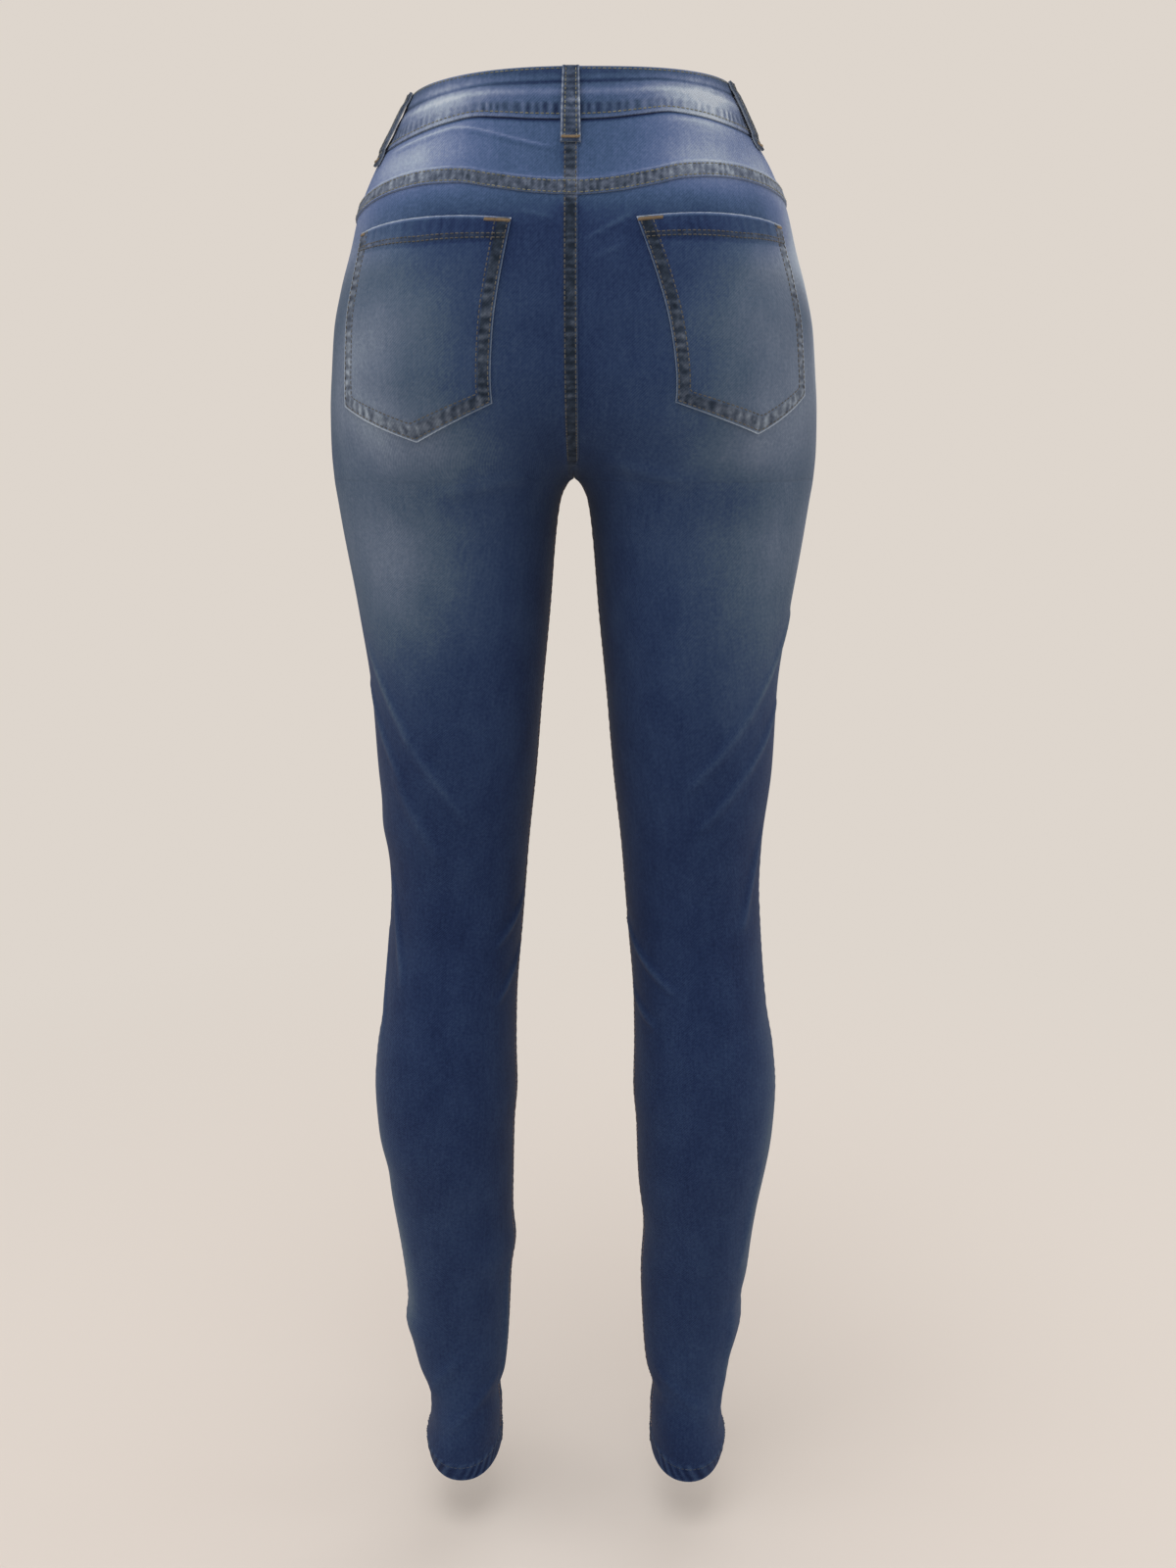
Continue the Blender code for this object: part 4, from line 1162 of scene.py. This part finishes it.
class Nodes:
    """A short way to write a material's nodes."""

    def __init__(self, name, **plain):
        self.material = bpy.data.materials.new(name)
        self.material.use_nodes = True
        self.tree = self.material.node_tree
        self.surface = self.tree.nodes["Principled BSDF"]
        self.place = self.add("ShaderNodeTexCoord").outputs["Object"]
        for key, value in plain.items():
            self.surface.inputs[key.replace("_", " ")].default_value = value

    def wire(self, value, key):
        """A value led into one of the shader's sockets."""
        self.tree.links.new(value, self.surface.inputs[key])

    def add(self, kind, links=None, **settings):
        node = self.tree.nodes.new(kind)
        for key, value in settings.items():
            setattr(node, key, value)
        for key, value in (links or {}).items():
            socket = node.inputs[key]
            if isinstance(value, bpy.types.NodeSocket):
                self.tree.links.new(value, socket)
            else:
                socket.default_value = value
        return node

    def maths(self, operation, a, b, c=None):
        links = {0: a, 1: b} if c is None else {0: a, 1: b, 2: c}
        return self.add("ShaderNodeMath", links, operation=operation).outputs[0]

    def noise(self, place, size, stretch=(1, 1, 1), detail=2.0):
        """Noise from 0 to 1 with features of this size in metres."""
        scaled = self.add("ShaderNodeMapping", {"Vector": place, "Scale": stretch}).outputs[0]
        links = {"Vector": scaled, "Scale": 1 / size, "Detail": detail}
        return self.add("ShaderNodeTexNoise", links).outputs[0]

    def attribute(self, name):
        return self.add("ShaderNodeAttribute", attribute_name=name).outputs["Fac"]

    def swayed(self, value, by, amount):
        """A value raised and lowered by a pattern from 0 to 1."""
        return self.maths("MULTIPLY_ADD", self.maths("SUBTRACT", by, 0.5), amount, value)

    def mixed(self, share, a, b):
        """Colour b mixed over colour a by this share."""
        node = self.add("ShaderNodeMix", {0: share, 6: a, 7: b}, data_type="RGBA")
        return node.outputs[2]

    def ramp(self, value, colours, places=None):
        """Colours at places from 0 to 1, or evenly spaced."""
        if places is None:
            places = np.linspace(0, 1, len(colours)).tolist()
        node = self.add("ShaderNodeValToRGB", {"Fac": value})
        points = node.color_ramp.elements
        for point, k in ((points[0], 0), (points[1], -1)):
            point.position, point.color = places[k], (*colours[k], 1)
        for at, colour in zip(places[1:-1], colours[1:-1]):
            points.new(at).color = (*colour, 1)
        return node.outputs[0]

    def bump(self, height, distance, strength=1.0):
        node = self.add("ShaderNodeBump", {"Height": height, "Distance": distance, "Strength": strength})
        self.wire(node.outputs[0], "Normal")


# The cloth's colour from dark to pale, evenly spaced: bluer on the waistband and yokes, and greyer below them
BLUE_STOPS = (
    (0.005, 0.012, 0.042), (0.010, 0.021, 0.066), (0.018, 0.036, 0.094), (0.028, 0.055, 0.118),
    (0.044, 0.078, 0.165), (0.066, 0.102, 0.210), (0.098, 0.135, 0.250), (0.145, 0.185, 0.300),
    (0.205, 0.250, 0.350), (0.265, 0.320, 0.410), (0.345, 0.390, 0.460),
)
GREY_STOPS = (
    (0.005, 0.012, 0.042), (0.010, 0.021, 0.064), (0.018, 0.035, 0.087), (0.030, 0.052, 0.106),
    (0.050, 0.078, 0.125), (0.074, 0.102, 0.155), (0.105, 0.134, 0.192), (0.150, 0.186, 0.245),
    (0.205, 0.250, 0.322), (0.268, 0.318, 0.390), (0.345, 0.388, 0.445),
)
SEAM_STOPS = (
    (0.010, 0.016, 0.024), (0.023, 0.032, 0.046), (0.052, 0.064, 0.090), (0.100, 0.121, 0.158),
    (0.195, 0.230, 0.280), (0.335, 0.380, 0.440),
)
# The height from which the cloth turns greyer, and over how far, in metres
GREY_FROM = -0.055
GREY_OVER = 0.040
WRONG_SIDE = (0.20, 0.235, 0.29)


def denim():
    """Worn indigo twill: paler where the wash attribute says, which holds wear together with painted light
    and shade, with slubs, mottling and a fine diagonal.
    """
    nodes = Nodes("denim", Roughness=0.85, Specular_IOR_Level=0.08, Sheen_Weight=0.04, Sheen_Roughness=0.5)
    place = nodes.place
    flat = nodes.add("ShaderNodeUVMap", uv_map="cloth").outputs[0]
    worn, seam, inside = (nodes.attribute(name) for name in ("wash_and_painted_light", "seam", "inside"))
    slub = nodes.noise(flat, 0.0016, (1, 0.05, 1), 3.0)
    mottle = nodes.noise(place, 0.022, (1, 1, 0.6), 4.0)
    grain = nodes.noise(place, 0.0020, (1, 1, 1), 3.0)
    twill = nodes.add("ShaderNodeTexWave", {"Vector": flat, "Scale": 330.0, "Distortion": 0.0},
                      wave_type="BANDS", bands_direction="DIAGONAL").outputs["Fac"]
    for pattern, amount in ((slub, 0.10), (mottle, 0.18), (grain, 0.24)):
        worn = nodes.swayed(worn, pattern, amount)
    blotch = nodes.maths("SUBTRACT", nodes.noise(place, 0.0045), 0.5)
    worn = nodes.maths("MULTIPLY_ADD", nodes.maths("MULTIPLY", blotch, seam), 0.75, worn)
    worn = nodes.swayed(worn, twill, 0.05)
    height = nodes.add("ShaderNodeSeparateXYZ", {"Vector": place}).outputs["Z"]
    below = nodes.maths("DIVIDE", nodes.maths("SUBTRACT", GREY_FROM, height), GREY_OVER)
    below = nodes.add("ShaderNodeClamp", {"Value": below}).outputs[0]
    shade = nodes.mixed(below, nodes.ramp(worn, BLUE_STOPS), nodes.ramp(worn, GREY_STOPS))
    shade = nodes.mixed(nodes.maths("MULTIPLY", seam, 0.85), shade, nodes.ramp(worn, SEAM_STOPS))
    nodes.wire(nodes.mixed(inside, shade, (*WRONG_SIDE, 1)), "Base Color")
    nodes.bump(nodes.maths("MULTIPLY_ADD", twill, 0.5, nodes.maths("ADD", slub, grain)), 0.0003, 0.6)
    return nodes.material


def thread(name, dark, light):
    """Cotton thread, uneven in colour and twisted."""
    nodes = Nodes(name, Roughness=0.7, Specular_IOR_Level=0.2, Sheen_Weight=0.1)
    uneven = nodes.noise(nodes.place, 0.006, detail=3.0)
    nodes.wire(nodes.ramp(uneven, (dark, light), (0.3, 0.7)), "Base Color")
    nodes.bump(nodes.noise(nodes.place, 0.0004), 0.0002, 0.5)
    return nodes.material


def aged_metal():
    """Copper-toned metal, darker where it has aged."""
    nodes = Nodes("aged_metal", Metallic=1.0)
    spots = nodes.noise(nodes.place, 0.003, detail=4.0)
    nodes.wire(nodes.ramp(spots, ((0.16, 0.10, 0.06), (0.48, 0.33, 0.22)), (0.35, 0.65)), "Base Color")
    nodes.wire(nodes.maths("MULTIPLY_ADD", spots, 0.3, 0.25), "Roughness")
    nodes.bump(nodes.noise(nodes.place, 0.0008), 0.0001, 0.4)
    return nodes.material


def camera():
    made = placed("camera", bpy.data.cameras.new("camera"))
    made.data.sensor_width = 36.0
    made.data.lens = CAMERA_LENS
    turn = CAMERA_YAW
    made.location = (
        CAMERA_ASIDE * math.cos(turn) - CAMERA_DISTANCE * math.sin(turn),
        CAMERA_ASIDE * math.sin(turn) + CAMERA_DISTANCE * math.cos(turn),
        CAMERA_HEIGHT,
    )
    made.rotation_euler = (math.pi / 2 - CAMERA_TILT, 0, math.pi + turn)
    bpy.context.scene.camera = made
    bpy.context.scene.view_settings.view_transform = "Standard"


# Lights, in metres: name, place, what they point at, size and power in watts
LIGHTS = (
    ("overhead", (0.3, 0.9, 1.6), (0.0, 0.0, -0.4), 1.6, 22.0),
    ("front_fill", (-0.6, -2.0, 0.6), (0.0, 0.0, -0.5), 2.0, 16.0),
    ("left_fill", (2.0, 0.3, 0.1), (0.0, 0.0, -0.5), 1.6, 11.0),
    ("right_rim", (-2.0, 0.0, -0.1), (0.0, 0.0, -0.3), 1.2, 11.0),
    ("low_fill", (0.0, 1.8, -0.8), (0.0, 0.0, -0.45), 2.0, 10.0),
)
ROOM = (0.73, 0.67, 0.61)
FLOOR = (0.60, 0.56, 0.53)
FLOOR_FADES_FROM = 0.35
FLOOR_FADES_OVER = 1.1
FLOOR_EDGE = 6.0


def floor_finish():
    """A pale floor that glows like the room further out, so that it has no edge in the picture."""
    nodes = Nodes("floor", Roughness=0.9, Base_Color=(*FLOOR, 1))
    level = nodes.add("ShaderNodeMapping", {"Vector": nodes.place, "Scale": (1, 1, 0)}).outputs[0]
    away = nodes.add("ShaderNodeVectorMath", {0: level}, operation="LENGTH").outputs["Value"]
    away = nodes.maths("DIVIDE", nodes.maths("SUBTRACT", away, FLOOR_FADES_FROM), FLOOR_FADES_OVER)
    far = nodes.ramp(away, ((0.0, 0.0, 0.0), (0.6, 0.6, 0.6), (1.0, 1.0, 1.0)))
    glow = nodes.add("ShaderNodeEmission", {"Color": (*ROOM, 1)}).outputs[0]
    both = nodes.add("ShaderNodeMixShader", {0: far, 1: nodes.surface.outputs[0], 2: glow}).outputs[0]
    nodes.tree.links.new(both, nodes.tree.nodes["Material Output"].inputs["Surface"])
    return nodes.material


def studio():
    """A pale floor, a pale room and soft lights."""
    mesh = bpy.data.meshes.new("floor")
    corners = [(x * FLOOR_EDGE, y * FLOOR_EDGE, FLOOR_Z) for x, y in ((-1, -1), (1, -1), (1, 1), (-1, 1))]
    mesh.from_pydata(corners, [], [(0, 1, 2, 3)])
    mesh.materials.append(floor_finish())
    floor = placed("floor", mesh)
    world = bpy.data.worlds.new("room")
    bpy.context.scene.world = world
    world.use_nodes = True
    background = world.node_tree.nodes["Background"].inputs
    background["Color"].default_value = (*ROOM, 1)
    background["Strength"].default_value = 1.0
    for name, place, target, size, power in LIGHTS:
        lamp = bpy.data.lights.new(name, "AREA")
        lamp.size, lamp.energy = size, power
        made = placed(name, lamp)
        made.location = place
        made.rotation_mode = "QUATERNION"
        made.rotation_quaternion = Vector(np.array(place) - np.array(target)).to_track_quat("Z", "Y")


def declare(piece, node):
    """A piece of denim that stands for a solid."""
    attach(piece, "root")
    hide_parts(node)


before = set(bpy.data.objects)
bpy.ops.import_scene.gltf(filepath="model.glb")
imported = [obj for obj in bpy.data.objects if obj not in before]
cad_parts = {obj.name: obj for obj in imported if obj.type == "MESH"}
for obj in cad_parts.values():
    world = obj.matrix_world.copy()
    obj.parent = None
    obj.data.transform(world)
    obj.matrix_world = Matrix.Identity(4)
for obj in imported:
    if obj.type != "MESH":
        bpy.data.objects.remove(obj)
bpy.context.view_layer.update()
NETS[BACK], NETS[FRONT] = net(BACK), net(FRONT)
camera()
studio()

cloth = denim()
olive = thread("olive_thread", (0.085, 0.088, 0.062), (0.21, 0.205, 0.15))
brown = thread("brown_thread", (0.042, 0.042, 0.040), (0.105, 0.096, 0.080))
rose = thread("rose_thread", (0.10, 0.075, 0.075), (0.22, 0.165, 0.16))
blue = thread("blue_thread", (0.018, 0.028, 0.055), (0.045, 0.060, 0.095))
tacking = thread("tack_thread", (0.115, 0.080, 0.048), (0.23, 0.170, 0.105))

rows = {
    "stitches_waistband": (band_rows(), olive),
    "stitches_centre_back": (centre_seam_rows(), brown),
    "stitches_fly": (fly_rows(), brown),
    "buttonhole": (buttonhole(), brown),
}
for word, side in SIDE_NAMES:
    back_leg = panel(side, BACK, word, cloth)
    declare(back_leg, "back_" + word)
    front_leg = panel(side, FRONT, word, cloth)
    declare(front_leg, "front_" + word)
    piece = yoke(side, word, cloth)
    declare(piece, "yoke_" + word)
    piece = pocket(side, word, cloth)
    declare(piece, "pocket_" + word)
    rows["stitches_yoke_" + word] = yoke_rows(side), olive
    rows["stitches_pocket_" + word] = pocket_rows(side), brown
    rows["stitches_hem_" + word] = hem_rows(side), blue
    rows["stitches_inseam_" + word] = inseam_row(side), rose
    rows["stitches_front_pocket_" + word] = scoop_rows(side), brown
    rows["tacks_pocket_" + word] = pocket_tacks(side), tacking
band = waistband(cloth)
declare(band, "waistband")
for name, side, back, share, stands_off, below in LOOPS:
    piece = belt_loop(name, side, back, share, stands_off, below, cloth)
    declare(piece, name)
piece = fly(cloth)
declare(piece, "fly")
for name, made, colour in zip(("stitches_loops", "tacks_loops"), loop_rows(), (olive, tacking)):
    rows[name] = made, colour
for name, (stitches, colour) in rows.items():
    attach(threads(name, stitches, THREAD, colour), "root")
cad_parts["button"].data.materials.clear()
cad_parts["button"].data.materials.append(aged_metal())
